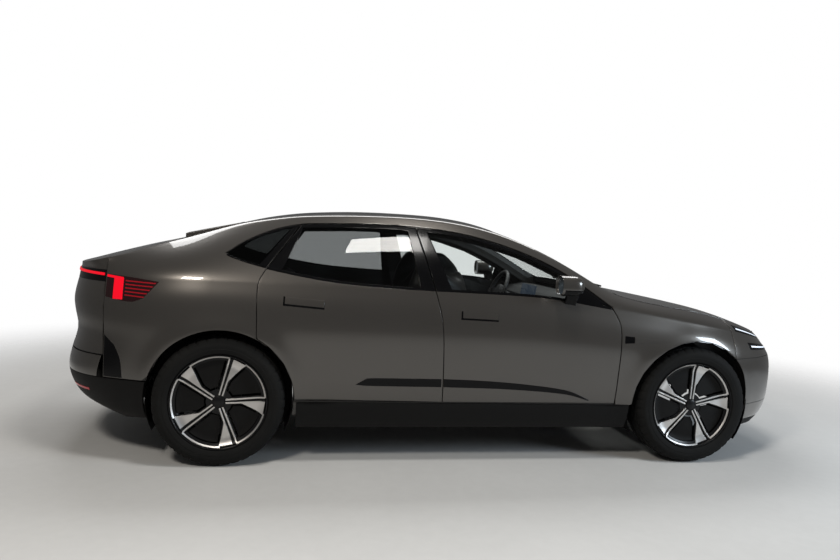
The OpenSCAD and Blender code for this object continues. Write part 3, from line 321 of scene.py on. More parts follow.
# %% A class for a finish
class Finish:
    def __init__(self, name, **sockets):
        self.material = bpy.data.materials.new(name)
        self.material.use_nodes = True
        self.tree = self.material.node_tree
        self.shader = self.tree.nodes["Principled BSDF"]
        self.out = self.tree.nodes["Material Output"]
        self.coordinates = self.node("ShaderNodeTexCoord", {}, {}, "Object")
        self.set(**sockets)

    def link(self, socket, value):
        if isinstance(value, Wire):
            self.tree.links.new(value.socket, socket)
        else:
            socket.default_value = value

    def node(self, kind, settings, inputs, out=0):
        made = self.tree.nodes.new(kind)
        for key, value in settings.items():
            setattr(made, key, value)
        for key, value in inputs.items():
            self.link(made.inputs[key], value)
        return Wire(self, made.outputs[out])

    def set(self, **sockets):
        for key, value in sockets.items():
            self.link(self.shader.inputs[key.replace("_", " ").title().replace("Ior", "IOR")], value)
        return self.material

    def noise(self, scale, detail=3, rough=0.5):
        return self.node("ShaderNodeTexNoise", {},
                         {"Vector": self.coordinates, "Scale": scale, "Detail": detail,
                          "Roughness": rough})

    def mix(self, factor, a, b):
        return self.node("ShaderNodeMix", {"data_type": "RGBA"}, {0: factor, 6: a, 7: b}, 2)

    def bump(self, height, strength, distance):
        return self.node("ShaderNodeBump", {},
                         {"Height": height, "Strength": strength, "Distance": distance})


def rgb(r, g, b):
    return (r, g, b, 1)


print("materials from the packed car:", len(bpy.data.materials))

# %% [markdown]
# The paint is a dark warm grey metallic under clear lacquer. Real paint has flakes that change its tone
# from place to place and a faint orange peel in the lacquer, so a fine noise drives the colour and a
# very low bump drives the reflections.

# %% Paint
def paint_finish(name, dark, pale, rough):
    f = Finish(name, metallic=0.65, coat_weight=1.0, coat_roughness=0.03)
    flake = f.noise(900, 2)
    cloud = f.noise(1.3, 2)
    f.set(base_color=f.mix(flake * 0.7 + cloud * 0.3, rgb(*dark), rgb(*pale)),
          roughness=rough + 0.08 * flake, normal=f.bump(f.noise(160, 2), 0.03, 0.001))
    return f.material


paint = paint_finish("grey_paint", (0.056, 0.051, 0.046), (0.098, 0.090, 0.081), 0.26)
jamb = paint_finish("jamb_paint", (0.035, 0.033, 0.031), (0.055, 0.052, 0.049), 0.42)
print("paints:", paint.name, jamb.name)

# %% [markdown]
# Trims are black plastic, either moulded with a grain or polished. One function makes both: a fine
# speck for the grain, a slow cloud for wear, and a thin coat where the part is polished.

# %% Plastics
def plastic_finish(name, colour, rough, grain, strength, coat=0.0, shine=0.3):
    dark, pale = rgb(*[c * 0.75 for c in colour]), rgb(*[c * 1.3 for c in colour])
    f = Finish(name, coat_weight=coat, coat_roughness=0.04, coat_ior=1.3, specular_ior_level=shine)
    speck = f.noise(grain, 4)
    wear = f.noise(7, 3)
    f.set(base_color=f.mix(speck * 0.6 + wear * 0.4, dark, pale),
          roughness=rough - 0.06 + 0.12 * wear, normal=f.bump(speck, strength, 0.0006))
    return f.material


black_gloss = plastic_finish("piano_black", (0.003, 0.003, 0.0034), 0.14, 300, 0.02, 0.16, 0.12)
black_plastic = plastic_finish("grained_black_plastic", (0.006, 0.0058, 0.0057), 0.55, 900, 0.35, 0.0,
                               0.14)
print("plastics:", black_gloss.name, black_plastic.name)

# %% [markdown]
# A window passes straight light and mirrors a little, more at a flat angle. A transparent and a glossy
# shader are mixed by how far the pane faces away, which also works from inside, and each pane has its
# own tint.

# %% Glass
def glass_finish(name, tint, shine):
    f = Finish(name)
    clear = f.node("ShaderNodeBsdfTransparent", {}, {"Color": rgb(*tint)})
    gloss = f.node("ShaderNodeBsdfGlossy", {}, {"Color": rgb(1, 1, 1), "Roughness": 0.0})
    facing = f.node("ShaderNodeLayerWeight", {}, {"Blend": 0.5}, "Facing")
    edge = f.node("ShaderNodeMath", {"operation": "POWER"}, {0: facing, 1: 5.0})
    both = f.node("ShaderNodeMixShader", {}, {0: edge * 0.5 + shine, 1: clear, 2: gloss})
    f.link(f.out.inputs["Surface"], both)
    return f.material


clear_glass = glass_finish("clear_window_glass", (0.905, 0.92, 0.915), 0.012)
dark_glass = glass_finish("tinted_window_glass", (0.63, 0.64, 0.64), 0.012)
night_glass = glass_finish("black_window_glass", (0.34, 0.35, 0.35), 0.012)
print("finishes so far:", len(bpy.data.materials))

# %% [markdown]
# The shut lines between the panels are what make a car body read at a glance. They are given once, as
# points along the right side, and both panels beside a line are set back from it by half of the gap.

# %% Shut lines and window lines
LIFT, GAP = 1.0, 2.6
b_post = line((-112, 390), (-120, 620), (-140, 880), (-184, 1070), (-282, 1432))
door_front = line((1018, 390), (1022, 520), (1022, 830), (1006, 922), (966, 1003))
roof_line = line((-1432, 1243), (-1365, 1296), (-1244, 1360), (-1112, 1410), (-1000, 1434), (-700, 1450),
                 (-400, 1455), (-282, 1450), (-100, 1437), (130, 1400), (423, 1316), (695, 1194),
                 (966, 1003))
belt = line((-1437, 1236), (-1348, 1203), (-1202, 1170), (-1027, 1137), (-792, 1103), (-505, 1085),
            (-211, 1076), (90, 1071), (429, 1062), (619, 1047), (966, 997))


def curved(points, n=60):
    p = np.asarray(points, float)
    run = np.concatenate([[0], np.cumsum(np.linalg.norm(np.diff(p, axis=0), axis=1))])
    reach = run[-1] / 40
    lines = [flow(np.stack([run, p[:, k]], 1), reach) for k in (0, 1)]
    at = np.linspace(0, run[-1], n)
    return np.stack([f(at) for f in lines], 1)


def arch(axle, a, b, n, r=ARCH):
    w = np.radians(np.linspace(a, b, n))
    return np.stack([axle + r * np.cos(w), WHEEL_Z + r * np.sin(w)], 1)


def clip_x(p, a, b):
    p = np.asarray(p, float)
    at = np.linspace(a, b, 80)
    order = np.argsort(p[:, 0])
    return np.stack([at, np.interp(at, p[order, 0], p[order, 1])], 1)


belt_smooth, roof_smooth = curved(belt, 200), curved(roof_line, 200)
post = curved(b_post, 80)
front_edge = curved(door_front, 80)
rear_rise = curved(line((-1237, 766), (-1240, 860), (-1240, 1078), (-1196, 1167)), 40)
rear_edge = np.concatenate([arch(REAR_AXLE, 3, 62, 30, ARCH + 4), rear_rise])


def up_to(p, z):
    p, at = np.asarray(p, float), np.linspace(p[0, 1], z, 60)
    return np.stack([np.interp(at, p[:, 1], p[:, 0]), at], 1)


def belt_z(x):
    return float(np.interp(x, belt_smooth[:, 0], belt_smooth[:, 1]))


POST_X = -186
print("belt line at the middle post:", round(belt_z(POST_X)), "mm")

# %% [markdown]
# The painted lower half of each door is one panel from the sill to the belt line. The packed door solid
# stays behind it as the inner trim and the jamb.

# %% Painted door skins
def door_skin(left_line, right_line, foot, trim):
    l, r = shifted(left_line, -GAP), shifted(right_line, GAP)
    bottom = line((l[0, 0], foot), (r[0, 0], foot))
    above = clip_x(belt_smooth, l[-1, 0], r[-1, 0]) - (0, trim)
    l[-1], r[-1] = above[0], above[-1]
    return patch(bottom, r, above, l, 64, 48)


DOOR_FOOT, BELT_TRIM = 393, 7
SKIN = plated(3.0, 1.3)
post_low = up_to(post, belt_z(POST_X))
front_skin = door_skin(post_low, front_edge, DOOR_FOOT, BELT_TRIM)
rear_skin = door_skin(rear_edge, post_low, DOOR_FOOT, BELT_TRIM)
pair("front_door_skin", on_side(front_skin, LIFT), SKIN, paint, FRONT_DOORS, "paint")
pair("rear_door_skin", on_side(rear_skin, LIFT), SKIN, paint, REAR_DOORS, "paint")


def under(finish, depth, *nodes):
    for node in nodes:
        parts[node].data.materials.clear()
        parts[node].data.materials.append(finish)
        if depth:
            tuck = parts[node].modifiers.new("tuck", "DISPLACE")
            tuck.strength, tuck.mid_level = -depth * MM, 0


TUCK = 4
under(jamb, TUCK, "door_fl", "door_fr", "door_rl", "door_rr")
print("door skins:", front_skin.shape, rear_skin.shape)

# %% [markdown]
# The roof rail is a long painted ribbon over the windows: it climbs the side, turns over the ridge and
# ends at the glass roof. Its rows are blurred across the ridge, so that the turn is a soft radius.

# %% Roof rail
RIM_IN, GATE_SIDE, WINDOW_TIP = 85, 2107, -1432


def rail_foot(x):
    over = np.interp(x, roof_smooth[:, 0], roof_smooth[:, 1]) + 6
    return np.where(x < WINDOW_TIP, over - (WINDOW_TIP - x) * 0.184, over)


def rail_rows(a, b, n, foot, lift):
    x = np.linspace(a, b, n)
    zf, ze, ye = foot(x), ridge_z(x), ridge_y(x)
    steps = np.linspace(0, 1, 40)
    low = [on_side(np.stack([x, zf + (ze - zf) * s], -1), lift) for s in steps]
    high = [on_top(np.stack([x, -(ye - RIM_IN * s)], -1), lift) for s in steps[1:]]
    path, half = np.array(low + high), 8
    weight = np.exp(-0.5 * (np.arange(-half, half + 1) / 4.0) ** 2)
    weight /= weight.sum()
    start = np.repeat(2 * path[:1], half, 0) - path[half:0:-1]
    stop = np.repeat(2 * path[-1:], half, 0) - path[-2:-2 - half:-1]
    ends = np.concatenate([start, path, stop])
    even = sum(w * ends[k:k + len(path)] for k, w in enumerate(weight))
    return even[::2]


def rail_low(x):
    return rail_foot(x) - 8 * np.clip((-x - 1446) / 14, 0, 1)


TAIL_SEAM = -GATE_SIDE + 2
TRIM = plated(3.0, 1.0)
rail = rail_rows(TAIL_SEAM, 1040, 160, rail_low, LIFT)
pair("roof_rail", rail, TRIM, paint, SHELL, "paint")
print("rail:", rail.shape)

# %% [markdown]
# The rear quarter runs from the rear door back to the tail. Its lower edge is the wheel arch, and its
# upper edge follows the rail as far as the tip of the window and then the belt line.

# %% Rear quarter
QUARTER_FOOT, QUARTER_TIP = 496, -1444
seam_x = np.linspace(TAIL_SEAM, QUARTER_TIP, 60)
quarter_top = np.concatenate([np.stack([seam_x, rail_foot(seam_x) + 8], 1),
                              clip_x(belt_smooth, -1437, -1198)[4:] - (0, 5)])
quarter_front = shifted(rear_edge[24:], GAP)
quarter_front[-1] = quarter_top[-1]
heel = line((TAIL_SEAM, QUARTER_FOOT), (-1872, QUARTER_FOOT))
quarter_foot = np.concatenate([heel, arch(REAR_AXLE, 164, 58, 60)[2:]])
quarter_foot = np.concatenate([quarter_foot[quarter_foot[:, 0] < quarter_front[0, 0] - 1],
                               quarter_front[:1]])
quarter_back = line((TAIL_SEAM, QUARTER_FOOT), quarter_top[0])
quarter = patch(quarter_foot, quarter_front, quarter_top, quarter_back, 84, 56)
pair("rear_quarter", on_side(quarter, LIFT), SKIN, paint, SHELL, "paint")
under(jamb, TUCK, "body_side_left", "body_side_right")
print("quarter:", quarter.shape)

# %% [markdown]
# The front fender fills the place between the door, the hood and the lamp. Its lower edge is the wheel
# arch, its upper edge runs just below the ridge, and its tip is where the arch meets the lamp.

# %% Front fender
FENDER_HEEL, FENDER_TOP, RIDGE_DROP, TIP_ANGLE = (1027, 381), 1012.0, 2, 47
fender_tip = arch(FRONT_AXLE, TIP_ANGLE, TIP_ANGLE, 1)[0]
fender_back = shifted(front_edge, -GAP - 1)
fender_back = np.concatenate([line(FENDER_HEEL), fender_back[fender_back[:, 1] > 400],
                              line((985, 1020), (FENDER_TOP, ridge_z(FENDER_TOP) - RIDGE_DROP))])
fender_x = np.linspace(FENDER_TOP, fender_tip[0], 60)
fender_top = np.stack([fender_x, ridge_z(fender_x) - RIDGE_DROP], 1)
fender_foot = np.concatenate([line(FENDER_HEEL), arch(FRONT_AXLE, 180, TIP_ANGLE, 60)])
fender = patch(fender_foot, line(fender_tip, fender_top[-1]), fender_top, fender_back, 70, 44)
pair("front_fender", on_side(fender, LIFT), SKIN, paint, SHELL, "paint")
print("fender:", fender.shape)

# %% [markdown]
# Hood, glass roof and windscreen lie one behind the other on the top of the car. Each is drawn between
# two lines along the ridge and two bows across the car, so one function serves all three. Where a panel
# covers a packed solid, that solid is drawn in a little.

# %% Hood, roof glass and windscreen
def edge_y(x, d):
    return ridge_y(x) - d


def across(xe, xc, y, n=60):
    t = np.linspace(-1, 1, n)
    return np.stack([xc + (xe - xc) * t * t, y * t], 1)


def strip(a, b, d, n=60):
    x = np.linspace(a, b, n)
    return np.stack([x, -edge_y(x, d)], 1)


def top_panel(a, b, ac, bc, d, n, m):
    low = strip(a, b, d)
    return patch(low, across(b, bc, edge_y(b, d)), low * (1, -1), across(a, ac, edge_y(a, d)), n, m)


hood = top_panel(1066, 2142, 1170, 2332, 6, 64, 50)
panel("hood_skin", on_top(hood, LIFT), SKIN, paint, "hood_lid", "paint")
roof = top_panel(-1358, 254, -1358, 284, RIM_IN + 2, 56, 40)
panel("roof_glass", on_top(roof, LIFT), plated(4.0, 1.3), black_gloss, "shell", "roof_glass")
screen = top_panel(258, 1004, 288, 1118, RIM_IN + 2, 44, 44)
panel("windscreen", on_top(screen, -1), plated(5.0, 1.0), clear_glass, "shell", "clear_glass",
      "windshield")
under(jamb, TUCK, "hood", "fenders", "tailgate", "nose_panel")
under(black_plastic, TUCK, "front_bumper", "rear_bumper", "cowl", "roof_panel", "sill_trims")
under(black_plastic, 0, "arch_liners")
print("hood:", hood.shape, "roof:", roof.shape, "windscreen:", screen.shape)

# %% [markdown]
# The nose and the tail wrap round the ends of the car. There the side surface turns edge-on, so these
# panels are drawn as bands instead: for each height, a rounded plan curve from the right side to the
# left.

# %% Bands round the nose and the tail
def nose_band(t, z):
    x = NOSE_START + (nose_reach(z) - NOSE_START) * np.sqrt(np.clip(1 - np.abs(t) ** NOSE_POWER, 0, 1))
    return np.stack([x, np.sign(t) * side(x, z), z], -1)


def tail_band(t, z):
    x = -NOSE_START - (tail_reach(z) - NOSE_START) * np.sqrt(np.clip(1 - np.abs(t) ** TAIL_POWER, 0, 1))
    half = np.where(z <= 1079, flank((z - FLANK_FOOT) / (1079 - FLANK_FOOT)),
                    flank(1) - 0.55 * (z - 1079))
    return np.stack([x, t * half + np.sign(t) * swell(x, z), z], -1)


def end_place(x, z, reach, power):
    return (1 - ((np.abs(x) - NOSE_START) / (reach(z) - NOSE_START)) ** 2) ** (1 / power)


def pushed(rows, d):
    way_i, way_j = np.gradient(rows, axis=1), np.gradient(rows, axis=0)
    n = np.cross(way_i, way_j)
    return rows + n / np.linalg.norm(n, axis=-1)[..., None] * d


def crowd(n, power=0.62):
    s = np.linspace(-1, 1, n)
    return np.sign(s) * np.abs(s) ** power


def nose_rows(z0, z1, n, m, lift):
    z = np.linspace(z0, z1, m)[:, None] * np.ones(n)
    arch_x = np.sqrt(np.clip((ARCH + 2) ** 2 - (z - WHEEL_Z) ** 2, 0, None))
    t = crowd(n)[None] * end_place(FRONT_AXLE + arch_x, z, nose_reach, NOSE_POWER)
    return pushed(nose_band(t, z), lift)


def nose_part(z0, z1, t0, t1, n, m, lift):
    z = np.linspace(z0, z1, m)[:, None] * np.ones(n)
    return pushed(nose_band(np.linspace(t0, t1, n)[None] * np.ones((m, 1)), z), lift)


panel("front_bumper_skin", nose_rows(376, 689, 90, 24, LIFT), SKIN, paint, "shell", "paint")
panel("front_lip", nose_rows(206, 258, 90, 6, LIFT), SKIN, black_plastic, "shell", "black_plastic")
corner_x = FRONT_AXLE + np.sqrt((ARCH + 2) ** 2 - (320 - WHEEL_Z) ** 2)
corner_t = end_place(corner_x, 320.0, nose_reach, NOSE_POWER)
pair("bumper_corner", nose_part(260, 374, -corner_t, -0.60, 24, 12, LIFT), SKIN, paint, SHELL, "paint")
print("front bumper reaches", round(float(nose_reach(400.0))), "mm ahead")

# %% [markdown]
# Between the lamps a painted nose panel closes the gap from the bumper up to the hood. It is blended
# from the seam below to the front edge of the hood, with a little fullness between the two.

# %% Nose panel
LAMP_SPLIT, NOSE_SEAM, HOOD_FRONT, HOOD_FRONT_MID = 0.62, 692.0, 2140, 2330


def hood_edge(k):
    return np.stack([HOOD_FRONT_MID + 8 + (HOOD_FRONT - HOOD_FRONT_MID) * k * k,
                     edge_y(float(HOOD_FRONT), 8) * k], -1)


def full(low, high, m, way):
    v = np.linspace(0, 1, m)[:, None, None]
    return ribbon(low, high, m) + np.array(way) * 4 * v * (1 - v)


k = np.linspace(-0.993, 0.993, 60)
nose_low = nose_band(LAMP_SPLIT * k, np.full(60, NOSE_SEAM))
nose_grid = full(nose_low, on_top(hood_edge(k), 0), 24, (3, 0, 10))
panel("nose_skin", pushed(nose_grid, LIFT), SKIN, paint, "shell", "paint")
print("nose panel:", nose_grid.shape)

# %% [markdown]
# The headlamp is a painted corner with two dark windows, each with a bright blade behind it. The corner
# is one patch from the fender round to the nose panel, and the windows are smaller areas of that same
# patch.

# %% Headlamps
tip_x = float(fender_tip[0]) + 4
lamp_t = np.linspace(-end_place(tip_x, NOSE_SEAM, nose_reach, NOSE_POWER), -LAMP_SPLIT - 0.004, 40)
lamp_low = nose_band(lamp_t, np.full(40, NOSE_SEAM))
lx = np.linspace(tip_x, HOOD_FRONT + 4, 40)
lamp_high = np.stack([lx, -edge_y(lx, 0), ridge_z(lx) - 3], -1)
lz = np.linspace(NOSE_SEAM, float(ridge_z(tip_x)) - 3, 30)
lamp_rear = on_side(np.stack([np.full(30, tip_x), lz], -1), 0)
lamp_front = full(lamp_low[-1:], lamp_high[-1:], 30, (2, 0, 10))[:, 0]
lamp_grid = patch(lamp_low, lamp_front, lamp_high, lamp_rear, 44, 30)


def inset(grid, u0, u1, v0, v1, n, m, skew=0.0):
    rows, cols = grid.shape[:2]
    v = np.linspace(v0, v1, m)[:, None] * np.ones(n)
    u = np.linspace(u0, u1, n)[None] * np.ones((m, 1))
    v = np.clip(v + skew * (u - u0), 0, 1)
    i, j = u * (cols - 1), v * (rows - 1)
    a, b = np.minimum(i.astype(int), cols - 2), np.minimum(j.astype(int), rows - 2)
    s, t = (i - a)[..., None], (j - b)[..., None]
    return ((1 - s) * (1 - t) * grid[b, a] + s * (1 - t) * grid[b, a + 1]
            + (1 - s) * t * grid[b + 1, a] + s * t * grid[b + 1, a + 1])


BOTH_LAMPS, LAMP_SKEW = (("headlamps",), ("headlamps",)), -0.06
RIB = plated(2.0, 0.6)
pair("lamp_surround", pushed(lamp_grid, LIFT), SKIN, paint, SHELL, "paint", BOTH_LAMPS)
lamp_glow = Finish("headlamp_glow", base_color=rgb(0.9, 0.93, 1.0), roughness=0.2,
                   emission_color=rgb(0.8, 0.9, 1.0), emission_strength=0.4).material
for name, u0, u1, v0, v1 in (("upper_lamp", 0.10, 0.86, 0.60, 0.80),
                             ("lower_lamp", 0.30, 0.95, 0.18, 0.36)):
    glass = inset(lamp_grid, u0, u1, v0, v1, 40, 10, LAMP_SKEW)
    pair(name + "_glass", pushed(glass, LIFT + 1.6), plated(3.0, 1.2), black_gloss, SHELL, "lamp_clear")
    blade = inset(lamp_grid, u0 + 0.05, u1 - 0.05, v0 + 0.06, v0 + 0.10, 40, 4, LAMP_SKEW)
    pair(name + "_blade", pushed(blade, LIFT + 2.6), RIB, lamp_glow, SHELL, "lamp_clear")
print("headlamp corner:", lamp_grid.shape)

# %% [markdown]
# The tailgate carries the tail face, the deck below the roof and a raised pod with the spoiler edge.
# The face is a band round the tail that rolls over a lip on to the deck, all in one sheet, so that no
# seam shows.

# %% Tail face, deck and pod
DECK_END, GATE_FRONT, POD_END = 2352, -1367, -1700


def gate_end(z):
    return end_place(float(GATE_SIDE), z, tail_reach, TAIL_POWER)


def tail_rows(z0, z1, n, m, lift, share=1.0, sag=0):
    z = np.linspace(z0, z1, m)[:, None] - sag * np.abs(crowd(n)) ** 4
    return pushed(tail_band(-crowd(n)[None] * gate_end(z) * share, z), lift)


def deck_edge(s):
    back = np.sqrt(np.clip(1 - np.abs(s) ** 3, 0, 1))
    return np.stack([-GATE_SIDE - (DECK_END - GATE_SIDE) * back, -s * edge_y(-float(GATE_SIDE), 0)], -1)


face = tail_rows(626, 1112, 70, 44, LIFT)
edge_xy = deck_edge(crowd(70))
edge = on_top(edge_xy, LIFT)
lip = np.stack([face[-1] * (1 - q) + edge * q for q in (0.33, 0.66, 1.0)])
q = np.linspace(0.06, 1, 14)[:, None]
cap_x = edge_xy[:, 0] * (1 - q) + (-GATE_SIDE - 1) * q
cap = on_top(np.stack([cap_x, edge_xy[:, 1] * 0.985 + 0 * q], -1), LIFT)
panel("tail_skin", np.concatenate([face, lip, cap]), SKIN, paint, "tailgate_lid", "paint")
deck = top_panel(-GATE_SIDE, GATE_FRONT, -GATE_SIDE, GATE_FRONT, RIM_IN + 7, 56, 44)
panel("deck_skin", on_top(deck, LIFT), TRIM, paint, "tailgate_lid", "paint")
pod = top_panel(POD_END, GATE_FRONT - 8, POD_END - 12, GATE_FRONT - 8, 112, 28, 40)
pod_rows = on_top(pod, 0)
pod_rows[..., 2] += 3 + 24 * (GATE_FRONT - pod[..., 0]) / (GATE_FRONT - POD_END)
panel("roof_pod", pod_rows, plated(22.0, 4.0, 3), paint, "tailgate_lid", "paint")
print("tail face:", face.shape, "deck:", deck.shape, "pod:", pod.shape)

# %% [markdown]
# A thin red blade runs across the tail in a black channel and turns on to both sides. The channel stands
# for a recess under the lip; its black is painted shade in place of that depth. Real lamps are clear
# shells over lit parts. Here the lit parts stand a little proud of a dark lens and have a weak glow.

# %% Light blade
LENS, THIN = plated(6.0, 1.5), plated(3.0, 0.8)
red_glow = Finish("red_lamp_glow", base_color=rgb(0.30, 0.0, 0.004), roughness=0.2, coat_weight=0.3,
                  emission_color=rgb(0.80, 0.0, 0.014), emission_strength=0.9).material
red_rib = Finish("red_lamp_rib", base_color=rgb(0.22, 0.002, 0.006), roughness=0.2, coat_weight=0.3,
                 emission_color=rgb(0.20, 0.0, 0.006), emission_strength=0.5).material
red_dark = Finish("dark_red_lens", base_color=rgb(0.014, 0.001, 0.0015), roughness=0.12, coat_weight=0.4,
                  coat_roughness=0.02).material
# The black channel plate is painted shade for the recess below the lip, not a modelled recess.
panel("light_channel_shade", tail_rows(1046, 1113, 90, 6, LIFT + 1.2), plated(2.0, 0.8), black_gloss,
      "tailgate_lid", "black_plastic")
panel("light_blade", tail_rows(1089, 1104, 90, 4, LIFT + 7, 0.992, 10), LENS, red_glow, "tailgate_lid",
      "lamp_red", "light_bar")
print("red finishes:", red_glow.name, red_rib.name, red_dark.name)

# %% [markdown]
# On each side the blade ends in a lamp with a bright block and five ribs. The lens is one patch of the
# side surface, and the lit parts are small plates on it that step out a little further.

# %% Tail lamps
lens_foot = curved(line((-2101, 962), (-1945, 944), (-1874, 969)), 30)
lens_top = curved(line((-2101, 1092), (-1960, 1084), (-1790, 1066)), 30)
lens_front, lens_back = line((-1874, 969), (-1790, 1066)), line((-2101, 962), (-2101, 1092))
housing = patch(lens_foot, lens_front, lens_top, lens_back, 40, 16)
pair("tail_lamp_lens", on_side(housing, LIFT + 0.6), LENS, red_dark, SHELL, "lamp_red",
     (("tail_lamps",),) * 2)


def quad(points, n, m):
    a, b, c, d = [np.array(q, float) for q in points]
    return patch(line(a, b), line(b, c), line(d, c), line(a, d), n, m)


def lamp_box(name, x0, x1, z0, z1, lift, finish):
    grid = quad(((x0, z0), (x1, z0), (x1, z1), (x0, z1)), 10, 24)
    pair(name, on_side(grid, lift), THIN, finish, SHELL, "lamp_red")


lamp_box("red_block", -2054, -1996, 955, 1076, LIFT + 2.6, red_glow)
blade_x = np.linspace(-2100, -1998, 30)
blade_low = np.stack([blade_x, np.interp(blade_x, [-2101, -1996], [1076, 1066])], 1)
side_blade = band(blade_low, blade_low + (0, 14), 30, 4)
pair("side_blade", on_side(side_blade, LIFT + 3), THIN, red_glow, SHELL, "lamp_red")
for i in range(5):
    z = 972 + 20 * i
    x1 = -1876 + (z - 969) * 0.78
    rib = quad(((-1984, z + 6), (x1, z), (x1 + 5, z + 6), (-1984, z + 13)), 24, 4)
    pair("lamp_rib_%d" % i, on_side(rib, LIFT + 2.2), RIB, red_rib, SHELL, "lamp_red")
print("tail lamp:", housing.shape, "with five ribs")

# %% [markdown]
# The rear bumper is a black band from arch to arch with a painted strip above it, two dark outlets at
# the corners and two small reflectors. Its lower edge rises to the corners, so the foot is a function
# of place.

# %% Rear bumper
BUMPER_FOOT, CORNER_RISE = 192, 72


def rear_rows(foot, high, n, m, lift, span=1.0, s=None):
    s = crowd(n) * span if s is None else s
    foot = foot(s) if callable(foot) else np.full(n, float(foot))
    z = foot + (high - foot) * np.linspace(0, 1, m)[:, None]
    arch_x = np.sqrt(np.clip((ARCH + 2) ** 2 - (z - WHEEL_Z) ** 2, 0, None))
    return pushed(tail_band(-s[None] * end_place(REAR_AXLE - arch_x, z, tail_reach, TAIL_POWER), z), lift)


def bumper_foot(s):
    return BUMPER_FOOT + CORNER_RISE * np.abs(s) ** 4


bumper = rear_rows(bumper_foot, 488, 90, 22, LIFT)
panel("rear_bumper_skin", bumper, SKIN, black_plastic, "shell", "black_plastic")
outlet = patch(line((-2103, 499), (-1990, 499)),
               curved(line((-1990, 499), (-2004, 610), (-2040, 688)), 20),
               line((-2103, 742), (-2040, 688)), line((-2103, 499), (-2103, 742)), 20, 30)
pair("rear_outlet", on_side(outlet, LIFT + 1.2), TRIM, black_gloss, SHELL, "black_plastic")
# The reflectors take the faintly glowing finish of the lamp ribs. A reflector is no lamp, so that glow is
# painted light.
reflector = rear_rows(394, 408, 14, 4, LIFT + 1.4, 1.0, np.linspace(0.60, 0.80, 14))
pair("rear_reflector", reflector, TRIM, red_rib, SHELL, "lamp_red")
panel("rear_bumper_top", rear_rows(491, 617, 64, 10, LIFT, 0.86), SKIN, paint, "shell", "paint")
print("rear bumper:", bumper.shape)

# %% [markdown]
# Behind each arch a black plastic skirt carries the wheel housing down to the sill and to the bumper.
# It is part of a cylinder round the axle, wide enough to hide the underside from the road.

# %% Skirts of the wheel housings
def skirt(axle, r, a, b, y0, y1):
    w, y = np.radians(np.linspace(a, b, 14))[:, None], np.linspace(y0, y1, 10)[None]
    return np.stack([axle + r * np.cos(w) + 0 * y, -y + 0 * w, WHEEL_Z + r * np.sin(w) + 0 * y], -1)


for name, axle, r, a, b, y0, y1 in (("front_skirt_ahead", FRONT_AXLE, ARCH + 5, -34, 46, 640, 890),
                                    ("front_skirt_behind", FRONT_AXLE, ARCH + 5, 172, 206, 640, 890),
                                    ("rear_skirt_ahead", REAR_AXLE, ARCH - 8, -26, 10, 600, 895),
                                    ("rear_skirt_behind", REAR_AXLE, ARCH - 8, 170, 206, 600, 880)):
    pair(name, skirt(axle, r, a, b, y0, y1), THIN, black_plastic, SHELL, "black_plastic")
WALL_Y = 640
w, r = np.radians(np.linspace(-30, 210, 60))[None], np.linspace(120, ARCH - 4, 12)[:, None]
wall = np.stack([REAR_AXLE + r * np.cos(w), -WALL_Y + 0 * r * w, WHEEL_Z + r * np.sin(w)], -1)
pair("rear_housing_wall", wall[:, ::-1], THIN, black_plastic, SHELL, "black_plastic")
print("housing wall:", wall.shape)

# %% [markdown]
# The windows sit in gloss black frames. Each frame is a ribbon between the door's edge and the edge of
# the glass, laid along both in matching legs so that the ribbon turns the corners cleanly.

# %% Window frames of the doors
BEZEL = plated(4.0, 1.2)


def legs(*pairs):
    low = np.concatenate([spaced(a, n)[(1 if k else 0):] for k, (a, b, n) in enumerate(pairs)])
    high = np.concatenate([spaced(b, n)[(1 if k else 0):] for k, (a, b, n) in enumerate(pairs)])
    return low, high


post_up = post[post[:, 1] > belt_z(POST_X)]
roof_front = clip_x(roof_smooth, -276, 962)
front_left = shifted(post_up, -GAP)
front_high = shifted(roof_front, -GAP)
front_left[-1] = front_high[0]
glass_front_left = line((-84, 1080), (-214, 1424))
glass_front_top = curved(line((-214, 1424), (-60, 1412), (130, 1378), (423, 1292), (695, 1166),
                              (893, 1030)), 60)
frame_front = ribbon(*legs((glass_front_left, front_left, 26), (glass_front_top, front_high, 90)), 8)
pair("front_window_frame", on_side(frame_front, LIFT), BEZEL, black_gloss, FRONT_DOORS, "black_plastic")

rear_left = line((-1192, 1171), (-1000, 1430))
roof_mid = shifted(clip_x(roof_smooth, -996, -286), -GAP)
rear_left[-1] = roof_mid[0]
rear_post = shifted(post_up, GAP)[::-1]
rear_post[0] = roof_mid[-1]
glass_rear_top = curved(line((-990, 1412), (-700, 1428), (-400, 1432), (-338, 1426)), 40)
glass_rear = (line((-1106, 1160), (-990, 1412)), glass_rear_top, line((-338, 1426), (-278, 1082)))
frame_rear = ribbon(*legs(*zip(glass_rear, (rear_left, roof_mid, rear_post), (26, 60, 26))), 8)
pair("rear_window_frame", on_side(frame_rear, LIFT), BEZEL, black_gloss, REAR_DOORS, "black_plastic")
print("window frames:", frame_front.shape, frame_rear.shape)

# %% [markdown]
# The fixed quarter window behind the rear door ends in a sharp tip. Its frame goes right round, so its
# three legs follow the belt, the door and the roof in turn.

# %% Quarter window frame and belt strips
quarter_low = curved(line((-1424, 1238), (-1348, 1210), (-1240, 1184)), 30)
quarter_high = curved(line((-1046, 1412), (-1112, 1396), (-1244, 1348), (-1365, 1288), (-1414, 1252)), 40)
quarter_glass = (quarter_low, line((-1240, 1184), (-1046, 1412)), quarter_high)
quarter_out = (clip_x(belt_smooth, -1436, -1203), line((-1203, 1170), (-1008, 1431)),
               clip_x(roof_smooth, -1431, -1008)[::-1])
low, high = legs(*zip(quarter_glass, quarter_out, (30, 30, 40)))
pair("quarter_window_frame", on_side(ribbon(high, low, 6), LIFT), BEZEL, black_gloss, SHELL,
     "black_plastic")

